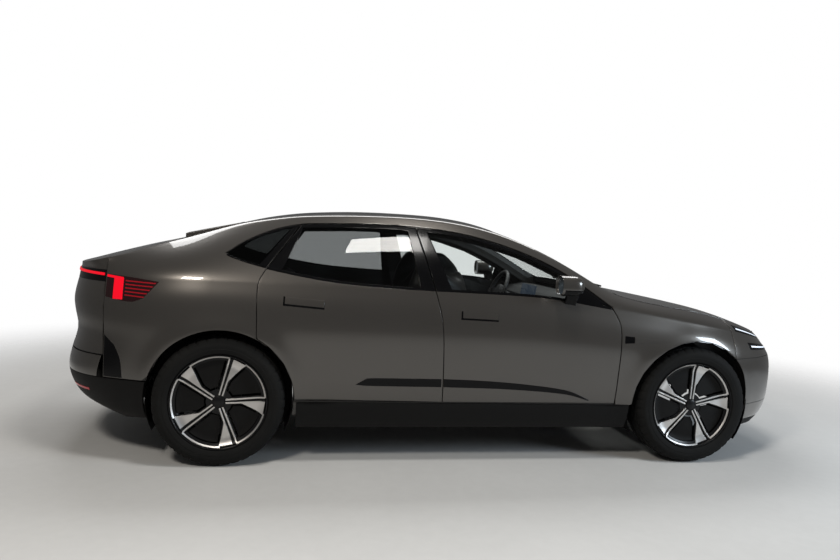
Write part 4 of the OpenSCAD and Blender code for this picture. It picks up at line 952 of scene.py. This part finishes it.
for name, a, b, bodies in (("front_belt", -183, 958, FRONT_DOORS),
                           ("rear_belt", -1194, -189, REAR_DOORS)):
    foot = clip_x(belt_smooth, a, b)
    belt_strip = band(foot - (0, 6), foot + (0, 9), 100, 5)
    pair(name + "_strip", on_side(belt_strip, LIFT + 1.5), BEZEL, black_gloss, bodies, "black_plastic")
print("quarter frame legs:", low.shape)

# %% [markdown]
# The panes lie three millimetres inside the frames. The front ones are clear and those behind are
# darker, so each pane gets its own glass. A black sail fills the corner below the mirror, and a cover
# closes the cowl.

# %% Panes, sails and cowl
PANE, INSIDE = plated(4.0, 0.8), -3
glass_corner = line((905, 1014), (893, 1030))
front_pane = patch(clip_x(belt_smooth, -84, 905), glass_corner, glass_front_top, glass_front_left, 44, 20)
pair("front_pane", on_side(front_pane, INSIDE), PANE, clear_glass, FRONT_DOORS, "clear_glass",
     (("glass_fr",), ("glass_fl",)))
rear_low = clip_x(belt_smooth, -1106, -278)
rear_pane = patch(rear_low, glass_rear[2][::-1], glass_rear_top, glass_rear[0], 40, 20)
pair("rear_pane", on_side(rear_pane, INSIDE), PANE, dark_glass, REAR_DOORS, "dark_glass",
     (("glass_rr",), ("glass_rl",)))
sail_foot, sail_top = clip_x(belt_smooth, 700, 905), clip_x(glass_front_top, 700, 893)
sail = patch(sail_foot, glass_corner, sail_top, line(sail_foot[0], sail_top[0]), 30, 12)
pair("mirror_sail", on_side(sail, -0.5), BEZEL, black_gloss, FRONT_DOORS, "black_plastic")
quarter_tip = line((-1424, 1238), (-1414, 1252))
quarter_pane = patch(quarter_low, quarter_glass[1], quarter_high[::-1], quarter_tip, 30, 20)
pair("quarter_pane", on_side(quarter_pane, INSIDE), PANE, night_glass, SHELL, "dark_glass",
     (("quarter_glass",),) * 2)
cowl = top_panel(1008, 1060, 1122, 1164, RIM_IN + 3, 8, 60)
panel("cowl_cover", on_top(cowl, -10), BEZEL, black_plastic, "shell", "black_plastic")
print("panes:", front_pane.shape, rear_pane.shape, quarter_pane.shape)

# %% [markdown]
# The door handles lie flush: a painted bar over a dark gap. The gap shows only on the left of the bar
# and below it, so its black is partly the real gap and partly painted shade in the recess. Black strips
# follow the lower doors, a dark vent with a painted spear sits behind the front arch, and a black sill
# closes the foot. All are thin plates a little proud of the skin.

# %% Handles, strips and sill
# The dark gap reaches 10 mm past the bar on the left, 11 mm below, 2 mm on the right and none above. That
# lopsided black is painted shade in the recess, laid over a real dark gap.
HANDLE_GAP_AND_SHADE = np.array(((-10, -11), (2, -11), (2, 0), (-10, 0)))
HANDLES = (("front_handle", FRONT_DOORS, ((-18, 916), (206, 909), (208, 947), (-16, 957))),
           ("rear_handle", REAR_DOORS, ((-1084, 969), (-856, 952), (-854, 992), (-1082, 1011))))
for name, bodies, corners in HANDLES:
    c = np.array(corners, float)
    pair(name + "_gap_and_shade", on_side(quad(c + HANDLE_GAP_AND_SHADE, 24, 8), LIFT + 1.0), plated(1.5, 0.4), black_gloss,
         bodies, "black_plastic")
    pair(name + "_bar", on_side(quad(c, 24, 8), LIFT + 2.4), plated(2.0, 0.8), paint, bodies, "paint")

strip_foot = curved(line((-111, 484), (300, 474), (690, 444), (838, 404)), 50)
strip_top = curved(line((-113, 535), (110, 528), (400, 508), (700, 468), (842, 410)), 50)
strip_ends = line((838, 404), (842, 410)), line((-111, 484), (-113, 535))
front_strip = patch(strip_foot, strip_ends[0], strip_top, strip_ends[1], 70, 8)
pair("front_door_strip", on_side(front_strip, LIFT + 2), TRIM, black_gloss, FRONT_DOORS, "black_plastic")
strip_foot = curved(line((-650, 494), (-590, 488), (-125, 484)), 30)
strip_top = curved(line((-585, 533), (-540, 536), (-127, 535)), 30)
strip_ends = line((-125, 484), (-127, 535)), line((-650, 494), (-585, 533))
rear_strip = patch(strip_foot, strip_ends[0], strip_top, strip_ends[1], 50, 8)
pair("rear_door_strip", on_side(rear_strip, LIFT + 2), TRIM, black_gloss, REAR_DOORS, "black_plastic")
vent = quad(((1046, 782), (1112, 786), (1112, 825), (1046, 830)), 16, 6)
vent_cover = quad(((1112, 786), (1330, 799), (1332, 806), (1112, 825)), 40, 6)
pair("fender_vent_cover", on_side(vent_cover, LIFT + 2.0), TRIM, paint, SHELL, "paint")
pair("fender_vent", on_side(vent, LIFT + 1.5), TRIM, black_gloss, SHELL, "black_plastic")
sill = quad(((-994, 218), (1117, 218), (1117, 378), (-994, 378)), 60, 10)
pair("sill_cover", on_side(sill, LIFT), SKIN, black_plastic, SHELL, "black_plastic")
print("strips:", front_strip.shape, rear_strip.shape, "sill:", sill.shape)

# %% [markdown]
# A wheel is a turned thing: the tyre and the rim barrel are one profile carried round the axle. Lugs
# are cut into the shoulder of the tyre by drawing in every sixth column of points.

# %% Tyre and rim barrel
TYRE_R, RIM_R, TYRE_W, TYRE_STEPS, LUG_EVERY, LUG_DEPTH = 381, 279, 255, 240, 6, 5


def turned(profile, n):
    a = np.linspace(0, 2 * np.pi, n + 1)
    return np.stack([np.stack([r * np.cos(a), r * np.sin(a), np.full(n + 1, h)], -1) for r, h in profile])


def edit_all(piece, *steps):
    alone(piece)
    bpy.ops.object.mode_set(mode="EDIT")
    bpy.ops.mesh.select_all(action="SELECT")
    for step in steps:
        step()
    bpy.ops.object.mode_set(mode="OBJECT")
    return piece


def closed(piece):
    return edit_all(piece, lambda: bpy.ops.mesh.remove_doubles(threshold=0.00005),
                    lambda: bpy.ops.mesh.normals_make_consistent(inside=False))


def tyre_rows():
    w, r = TYRE_W / 2, TYRE_R - 1
    half = [(RIM_R - 4, w - 24), (RIM_R + 2, w - 17), (RIM_R + 8, w - 7), (RIM_R + 20, w - 3),
            (RIM_R + 34, w - 1), (RIM_R + 36, w - 2.4), (RIM_R + 48, w - 1), (r - 36, w - 3),
            (r - 34, w - 4.6), (r - 24, w - 8), (r - 15, w - 14), (r - 8, w - 24), (r - 4, w - 36),
            (r - 2, w - 48), (r - 10, w - 49), (r - 10, w - 58), (r - 1, w - 59), (r, w - 92),
            (r - 10, w - 93), (r - 10, w - 104), (r, w - 105), (r, 2)]
    p = np.array(half + [(a, -b) for a, b in half[::-1]])
    rows = turned(p, TYRE_STEPS)
    lug = np.arange(TYRE_STEPS + 1) % LUG_EVERY < 1
    for row, (a, b) in zip(rows, p):
        if a > r - 26 and abs(b) > w - 50:
            row[lug] *= np.array([(a - LUG_DEPTH) / a] * 2 + [1])
    return rows


def rim_rows():
    h = TYRE_W / 2 - 9
    p = [(250, -h), (258, -h + 10), (258, -h + 42), (238, -h + 60), (238, 38), (252, 56), (266, 62),
         (269, h - 14), (272, h - 3), (274, h), (277, h), (279, h - 3), (279, h - 9), (274, h - 14),
         (272, 56), (256, 50), (242, 34), (242, -h + 64), (262, -h + 46), (262, -h + 12), (279, -h + 8),
         (279, -h), (250, -h)]
    return turned(p, 128)


print("tyre:", tyre_rows().shape, "rim:", rim_rows().shape)

# %% [markdown]
# Rubber is nearly black and dull with a little dust. The face of the wheel is cut bright on a lathe,
# which leaves a fine grain, and the rest is dark gloss paint.

# %% Finishes of the wheel
rubber = Finish("tyre_rubber")
speck = rubber.noise(260, 4)
dust = rubber.noise(9, 4)
rubber = rubber.set(specular_ior_level=0.12,
                    base_color=rubber.mix(dust, rgb(0.005, 0.005, 0.005), rgb(0.012, 0.012, 0.0115)),
                    roughness=0.68 + 0.2 * dust, normal=rubber.bump(speck, 0.25, 0.0008))
machined = Finish("machined_alloy", metallic=1.0)
grain = machined.noise(2600, 2)
machined = machined.set(base_color=machined.mix(grain, rgb(0.62, 0.60, 0.58), rgb(0.72, 0.70, 0.68)),
                        roughness=0.34 + 0.06 * grain)
dark_alloy = plastic_finish("dark_wheel_gloss", (0.006, 0.006, 0.0065), 0.3, 200, 0.03, 0.15, 0.2)
print("wheel finishes:", rubber.name, machined.name, dark_alloy.name)

# %% [markdown]
# The wheel face is flat work laid on a shallow dish: five grooves with a bright machined line on each
# side, and one line of each pair opens into a wide facet towards the rim. One spoke is drawn and then
# turned.

# %% Wheel face
FACE_H, FACE_R, HUB_R, FACET_R, SPOKES = 84, 262, 34, 128, 5


def dish(r):
    return FACE_H - 12 * np.clip((r - 40) / 220, 0, 1) ** 1.6 + 28 * np.clip((r - 205) / 65, 0, 1) ** 2


def fan(low, high, n, m, lift):
    g = band(low, high, n, m)
    return np.concatenate([g, (dish(np.hypot(g[..., 0], g[..., 1])) + lift)[..., None]], -1)


def spoke_parts():
    rr = np.linspace(HUB_R + 4, FACE_R, 30)
    half = np.interp(rr, [40, FACE_R], [5, 9.5])
    left_in, left_out = np.stack([rr, half], 1), np.stack([rr, half + 9], 1)
    wide = half + 9 + np.interp(rr, [40, FACET_R, FACE_R], [0, 0, 70])
    right_in, right_out = np.stack([rr, -half], 1), np.stack([rr, -wide], 1)
    k = np.sqrt(np.clip(FACE_R**2 - wide**2, 1, None)) / FACE_R
    right_out[:, 0] = rr * np.where(rr > FACET_R, 1 - (1 - k) * (rr - FACET_R) / (FACE_R - FACET_R), 1)
    a0 = np.arctan2(half[-1] + 4, FACE_R)
    a1 = 2 * np.pi / SPOKES - np.arctan2(wide[-1] - 4, FACE_R)
    a = np.linspace(a0, a1, 24)
    rim_arc = np.stack([np.cos(a), np.sin(a)], 1)
    r = np.linspace(84, 244, 16)[:, None]
    first = np.arctan2(np.interp(r, rr, half) + 28, r)
    last = 2 * np.pi / SPOKES - np.arctan2(np.interp(r, rr, wide) + 18, r)
    sweep = first + (last - first) * np.linspace(0, 1, 14)[None]
    insert = np.stack([r * np.cos(sweep), r * np.sin(sweep), dish(r) - 8 + 0 * sweep], -1)
    arm_low, arm_high = right_out - (0, 7), left_out + (0, 7)
    return [("line", fan(left_in, left_out, 30, 3, 8), machined),
            ("facet", fan(right_out, right_in, 30, 8, 8), machined),
            ("arc", fan(260 * rim_arc, 269 * rim_arc, 24, 3, 8), machined),
            ("arm", fan(arm_low, arm_high, 30, 12, 0), dark_alloy), ("insert", insert, black_plastic)]


print("pieces of a spoke:", [name for name, rows, finish in spoke_parts()])

# %% [markdown]
# One wheel is a list of pieces about its own axle: hub and lip of the dish, barrel, tyre, cap and five
# spokes. It is set out four times, and the left wheels are the right ones turned half round.

# %% Four wheels
def turn(rows, degrees):
    c, q = math.cos(math.radians(degrees)), math.sin(math.radians(degrees))
    return rows @ np.array([[c, q, 0], [-q, c, 0], [0, 0, 1]])


def wheel_pieces():
    made = []
    for name, rr in (("hub", np.concatenate([[0.5], np.linspace(8, 74, 8)])),
                     ("lip", np.linspace(248, FACE_R + 4, 6))):
        disc = turned([(r, float(dish(r))) for r in rr], 120)
        made.append((name, disc[:, ::-1], dark_alloy, "rim_alloy", "skin"))
    made.append(("barrel", rim_rows(), dark_alloy, "rim_alloy", "solid"))
    made.append(("tyre", tyre_rows(), rubber, "tyre_rubber", "solid"))
    cap_line = [(0.5, 13), (26, 12), (32, 9), (34, 4), (34, -2)]
    cap = turned([(r, FACE_H + h) for r, h in cap_line], 64)
    made.append(("cap", cap, dark_alloy, "rim_alloy", "skin"))
    for k in range(SPOKES):
        for name, rows, finish in spoke_parts():
            made.append(("%s_%d" % (name, k), turn(rows, 360 / SPOKES * k), finish, "rim_alloy", "plate"))
    return made


def faces_in(placed, hand):
    first = np.cross(placed[0, 1] - placed[0, 0], placed[1, 0] - placed[0, 0])
    return first[1] * hand < 0


def shape_wheel_piece(piece, kind, inward):
    if kind == "plate":
        if inward:
            edit_all(piece, bpy.ops.mesh.flip_normals)
        plate(piece, 8.0, 1.0)
        return
    closed(piece)
    if kind == "skin":
        wall = piece.modifiers.new("wall", "SOLIDIFY")
        wall.thickness, wall.offset = 5 * MM, -1
        apply_all(piece)
    smooth(piece, 32)


def set_wheel(tag, x, hand, phase, body):
    for name, rows, finish, slot, kind in wheel_pieces():
        rows = turn(rows, phase)
        placed = np.stack([x - hand * rows[..., 0], hand * (WHEEL_Y + rows[..., 2]),
                           WHEEL_Z + rows[..., 1]], -1)
        piece = sheet("%s_%s" % (tag, name), placed)
        shape_wheel_piece(piece, kind, faces_in(placed, hand))
        dress(piece, finish, body, slot)
    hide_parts("rim_" + tag)
    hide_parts("tyre_" + tag)


for tag, x, hand, phase in (("fr", FRONT_AXLE, -1, 13), ("rr", REAR_AXLE, -1, 3),
                            ("fl", FRONT_AXLE, 1, 13), ("rl", REAR_AXLE, 1, 3)):
    set_wheel(tag, x, hand, phase, "wheel_" + tag)
print("wheels set out")

# %% [markdown]
# Two wipers park on the black cowl below the windscreen. Each is a thin round arm swept along the
# glass, and the swept tube follows the height of the glass at every point.

# %% Wipers
def arm_rows(a, b, r, n=40, m=13):
    t, w = np.linspace(0, 1, n), np.linspace(0, 2 * np.pi, m)
    x, y = a[0] + (b[0] - a[0]) * t, a[1] + (b[1] - a[1]) * t
    x = x + 26 * np.sin(np.pi * t)
    z = top(x, np.abs(y)) + 12
    size = r * np.interp(t, [0, 0.04, 0.5, 0.96, 1], [0.2, 1.3, 1.0, 0.7, 0.1])
    return np.stack([np.stack([x + size * np.cos(q), y, z + size * np.sin(q)], -1) for q in w])


for i, (a, b) in enumerate((((1086, 470), (1108, -130)), ((1112, -40), (1040, -590)))):
    wiper = closed(sheet("wiper_%d" % i, arm_rows(a, b, 8)))
    smooth(wiper, 60)
    dress(wiper, black_plastic, "shell", "black_plastic")
print("wipers parked")

# %% [markdown]
# The mirrors stand on the doors on a short black foot. The housing is a ring swept along the car and
# closed in at the front; the rear end is open for the glass.

# %% Mirrors
MIRROR, MIRROR_HALF, BASE_TOP = np.array((650, -1008, 1138)), (84, 67, 61), 1112


def mirror_rings(n, m):
    u, a = np.linspace(-0.9, 0.995, n)[:, None], -np.linspace(0, 2 * np.pi, m)
    c, q = np.cos(a), np.sin(a)
    k = np.sqrt(np.clip(1 - np.clip(u, 0, None) ** 2.6, 0.004, 1))
    ring = np.stack([u + 0 * a, k * np.sign(c) * np.abs(c) ** 0.78, k * np.sign(q) * np.abs(q) ** 0.78],
                    -1)
    return MIRROR + ring * MIRROR_HALF


def hollow(thick, edge):
    return lambda piece: plate(closed(piece), thick, edge)


silver = Finish("mirror_silver", base_color=rgb(0.85, 0.87, 0.9), metallic=1.0, roughness=0.02).material
rings = mirror_rings(28, 45)
pair("mirror_housing", rings, hollow(3.0, 1.0), paint, FRONT_DOORS, "paint",
     (("mirror_right",), ("mirror_left",)))
centre = rings[2].mean(0)
mirror_face = np.stack([centre + (rings[2] - centre) * k for k in np.linspace(0.02, 0.93, 12)])
pair("mirror_glass", mirror_face, hollow(2.0, 0.4), silver, FRONT_DOORS, "clear_glass")
base = rings[3:25].copy()
base[..., 2] = np.minimum(base[..., 2], BASE_TOP)
base = MIRROR + (base - MIRROR) * (1, 1.012, 1.02)
pair("mirror_base", base, hollow(2.0, 0.6), black_gloss, FRONT_DOORS, "black_plastic")
h, f = np.linspace(0, 1, 10)[:, None], np.linspace(0, 1, 9)[None]
foot_rows = np.stack([640 + 76 * f + 0 * h, -940 - 50 * h + 0 * f, 1012 + 78 * h - 10 * f * (1 - h)], -1)
pair("mirror_foot", foot_rows, plated(26.0, 5.0, 3), black_gloss, FRONT_DOORS, "black_plastic")
print("mirror housing:", rings.shape, "foot:", foot_rows.shape)

# %% [markdown]
# Seats are cushions over a frame. The packed seat blocks are copied, melted together by a voxel remesh
# and then inflated with the cloth solver, which gives the slack, rounded look of padded leather.

# %% Padded seats
VOXEL, PRESSURE, LAST_FRAME = 0.024, 4, 12
leather = Finish("seat_leather")
pores = leather.noise(420, 5)
folds = leather.noise(6, 4)
leather = leather.set(base_color=leather.mix(folds, rgb(0.018, 0.018, 0.019), rgb(0.034, 0.033, 0.033)),
                      roughness=0.42 + 0.16 * folds, normal=leather.bump(pores, 0.35, 0.0008))
cabin = plastic_finish("cabin_plastic", (0.020, 0.020, 0.021), 0.55, 700, 0.3)


def padded(node, name):
    alone(parts[node])
    bpy.ops.object.duplicate()
    piece = bpy.context.object
    piece.name = piece.data.name = name
    melt = piece.modifiers.new("melt", "REMESH")
    melt.mode, melt.voxel_size = "VOXEL", VOXEL
    even = piece.modifiers.new("even", "SMOOTH")
    even.factor, even.iterations = 0.5, 6
    apply_all(piece)
    soft = piece.modifiers.new("soft", "CLOTH")
    soft.settings.use_pressure = True
    soft.settings.uniform_pressure_force = PRESSURE
    soft.settings.effector_weights.gravity = 0
    soft.settings.quality = 4
    soft.point_cache.frame_start, soft.point_cache.frame_end = 1, LAST_FRAME
    for f in range(1, LAST_FRAME + 1):
        bpy.context.scene.frame_set(f)
    apply_all(piece)
    bpy.context.scene.frame_set(1)
    smooth(piece, 60)
    dress(piece, leather, "shell", "seat_leather", node)
    return piece


cushions = [padded("front_seats", "front_seat_cushions"), padded("rear_seat", "rear_seat_cushion")]
under(cabin, 0, "dashboard", "console")
print("cushion faces:", [len(piece.data.polygons) for piece in cushions])

# %% [markdown]
# Under the floor the car is bare metal and black paint. The packed solids have the right shapes
# already, so they keep them and get a rolled steel, a cast alloy or a black coated finish.

# %% Finishes under the floor
def metal_finish(name, dark, pale, rough, scale):
    f = Finish(name, metallic=0.9)
    cast = f.noise(scale, 4)
    return f.set(base_color=f.mix(cast, rgb(*dark), rgb(*pale)), roughness=rough + 0.15 * cast,
                 normal=f.bump(cast, 0.2, 0.001))


coated = plastic_finish("black_coated_steel", (0.012, 0.012, 0.012), 0.5, 200, 0.2)
alloy = metal_finish("cast_alloy", (0.10, 0.10, 0.105), (0.18, 0.18, 0.185), 0.38, 180)
under(coated, 0, "platform", "front_subframe", "rear_subframe")
under(metal_finish("pack_case", (0.05, 0.05, 0.052), (0.09, 0.09, 0.093), 0.4, 90), 0, "battery_pack")
under(alloy, 0, "drive_unit", "rear_knuckles", "knuckle_fl", "knuckle_fr")
print("metals:", coated.name, alloy.name)

# %% [markdown]
# The steering wheel is a ring that is thicker where the hands hold it, with three flat spokes and a
# padded boss. It is drawn flat and then tilted on to the column.

# %% Steering wheel and screen
COLUMN, COLUMN_TILT, HOOP_R = np.array((590, 380, 985)), 24, 169


def on_column(rows):
    tilt = math.radians(COLUMN_TILT - 90)
    c, q = math.cos(tilt), math.sin(tilt)
    x, z = rows[..., 0] * c + rows[..., 2] * q, -rows[..., 0] * q + rows[..., 2] * c
    return COLUMN + np.stack([x, rows[..., 1], z], -1)


a, b = np.linspace(0, 2 * np.pi, 97)[None], np.linspace(0, 2 * np.pi, 21)[:, None]
thick = 13.5 + 2 * np.abs(np.sin(a))
reach = HOOP_R + thick * np.cos(b)
hoop_rows = np.stack([reach * np.cos(a), reach * np.sin(a), thick * np.sin(b)], -1)
hoop = closed(sheet("steering_ring", on_column(hoop_rows)))
smooth(hoop, 60)
dress(hoop, leather, "hand_wheel", "seat_leather", "steering_wheel")
boss_line = [(0.5, 8), (40, 7), (56, 2), (62, -8), (62, -30), (50, -34), (0.5, -34)]
boss = closed(sheet("steering_boss", on_column(turned(boss_line, 48))))
smooth(boss, 40)
dress(boss, cabin, "hand_wheel", "cabin_plastic")
h = np.linspace(-20, 20, 6)[:, None]
spoke = np.stack([np.linspace(44, 160, 12) + 0 * h, h * np.linspace(1.3, 0.8, 12),
                  np.linspace(-6, -4, 12) + 0 * h], -1)
for i, w in enumerate((180, 90, 270)):
    panel("steering_spoke_%d" % i, on_column(turn(spoke, w)), plated(12.0, 3.0), cabin, "hand_wheel",
          "cabin_plastic")
print("steering wheel:", hoop_rows.shape)

# %% [markdown]
# A flat screen stands in the middle of the dashboard and leans back a little. It is one thick plate of
# black glass with a faint glow.

# %% Centre screen
screen_glow = Finish("screen_glass", base_color=rgb(0.01, 0.012, 0.015), roughness=0.06,
                     emission_color=rgb(0.05, 0.07, 0.10), emission_strength=0.4).material
h, y = np.linspace(0, 1, 10)[:, None], np.linspace(150, -150, 12)[None]
screen_rows = np.stack([690 + 34 * h + 0 * y, y + 0 * h, 870 + 200 * h + 0 * y], -1)
panel("centre_screen", screen_rows, plated(14.0, 4.0, 3), screen_glow, "shell", "dark_glass")
print("screen:", screen_rows.shape)

# %% [markdown]
# The floor is pale stone that fades out with distance, so that the white room has no horizon. A smooth
# range of the distance from the middle mixes the stone with a transparent shader.

# %% Stage
FLOOR_SIZE, FADE_FROM, FADE_TO = 40, 3.0, 6.5


def stage_floor():
    bpy.ops.object.select_all(action="DESELECT")
    bpy.ops.mesh.primitive_plane_add(size=FLOOR_SIZE)
    floor = bpy.context.object
    floor.name = "studio_floor"
    f = Finish("pale_floor", roughness=0.6)
    cloud = f.noise(0.9, 6, 0.6)
    grain = f.noise(14, 5, 0.6)
    f.set(base_color=f.mix(cloud * 0.6 + grain * 0.4, rgb(0.47, 0.47, 0.46), rgb(0.60, 0.60, 0.59)))
    far = f.node("ShaderNodeVectorMath", {"operation": "LENGTH"}, {0: f.coordinates}, "Value")
    fade = f.node("ShaderNodeMapRange", {"interpolation_type": "SMOOTHSTEP"},
                  {"Value": far, 1: FADE_FROM, 2: FADE_TO})
    clear = f.node("ShaderNodeBsdfTransparent", {}, {})
    both = f.node("ShaderNodeMixShader", {}, {0: fade, 1: Wire(f, f.shader.outputs[0]), 2: clear})
    f.link(f.out.inputs["Surface"], both)
    floor.data.materials.append(f.material)
    return floor


print("stage:", stage_floor().name)

# %% [markdown]
# The room is white to the camera and dim to everything else, so the paint stays dark and mirrors only
# the lamps. Four area lamps do the work: one long one behind the car, two near it and a cool one at the
# front.

# %% Light
DIM, WHITE = 0.12, rgb(1, 1, 1)
world = bpy.data.worlds.new("studio")
bpy.context.scene.world = world
world.use_nodes = True
tree = world.node_tree
background = tree.nodes["Background"]
path, seen, level = [tree.nodes.new("ShaderNode" + kind) for kind in ("LightPath", "Math", "MapRange")]
seen.operation = "MAXIMUM"
for out, into in ((path.outputs["Is Camera Ray"], seen.inputs[0]),
                  (path.outputs["Is Transmission Ray"], seen.inputs[1]),
                  (seen.outputs[0], level.inputs["Value"]),
                  (level.outputs[0], background.inputs["Strength"])):
    tree.links.new(out, into)
level.inputs["To Min"].default_value, level.inputs["To Max"].default_value = DIM, 1.0
background.inputs["Color"].default_value = WHITE


def lamp(name, place, aim, size, power, colour=(1, 1, 1)):
    data = bpy.data.lights.new(name, "AREA")
    data.shape, data.energy, data.color = "RECTANGLE", power, colour
    data.size, data.size_y = size
    made = bpy.data.objects.new(name, data)
    bpy.context.collection.objects.link(made)
    made.location = place
    made.rotation_euler = (Vector(aim) - Vector(place)).to_track_quat("-Z", "Y").to_euler()


lamp("ceiling_back", (0, 2.0, 4.6), (0, 0, 0.8), (6.5, 1.8), 220)
lamp("near_rear", (-3.0, -4.6, 4.8), (-1.2, 0, 0.8), (1.0, 0.8), 160, (1.0, 0.94, 0.86))
lamp("near_middle", (0.2, -2.3, 6.0), (0.2, -0.6, 0.8), (1.2, 0.8), 130, (1.0, 0.97, 0.93))
lamp("front_cool", (5.4, -3.6, 2.4), (1.6, 0, 0.7), (1.8, 1.8), 190, (0.78, 0.89, 1.0))

print("lamps:", len(bpy.data.lights))

# %% [markdown]
# The camera was found from the wheels and the ground of the photograph: where it stands, how it is
# turned, tilted and rolled, and the focal length in picture points.

# %% Camera
PLACE, FOCAL, PICTURE_WIDTH, SENSOR = (-1.082, -5.213, 1.420), 722.3, 840, 36
yaw, pitch, roll = math.radians(10.53), math.radians(-3.76), math.radians(2.87)
ahead = Vector((math.sin(yaw) * math.cos(pitch), math.cos(yaw) * math.cos(pitch), math.sin(pitch)))
level_right = Vector((math.cos(yaw), -math.sin(yaw), 0))
level_up = level_right.cross(ahead)
right = level_right * math.cos(roll) + level_up * math.sin(roll)
upward = level_up * math.cos(roll) - level_right * math.sin(roll)
camera = bpy.data.objects.new("photo_view", bpy.data.cameras.new("photo_view"))
bpy.context.collection.objects.link(camera)
rows = [(right[i], upward[i], -ahead[i], PLACE[i]) for i in range(3)]
camera.matrix_world = Matrix(rows + [(0, 0, 0, 1)])
camera.data.sensor_width, camera.data.lens = SENSOR, SENSOR * FOCAL / PICTURE_WIDTH
bpy.context.scene.camera = camera
bpy.context.scene.view_settings.view_transform = "Standard"
print("lens:", round(camera.data.lens, 1), "mm")

# %% [markdown]
# The box of the dressed car should agree with that of the packed parts to a few millimetres, because
# the panels lie on the solids.
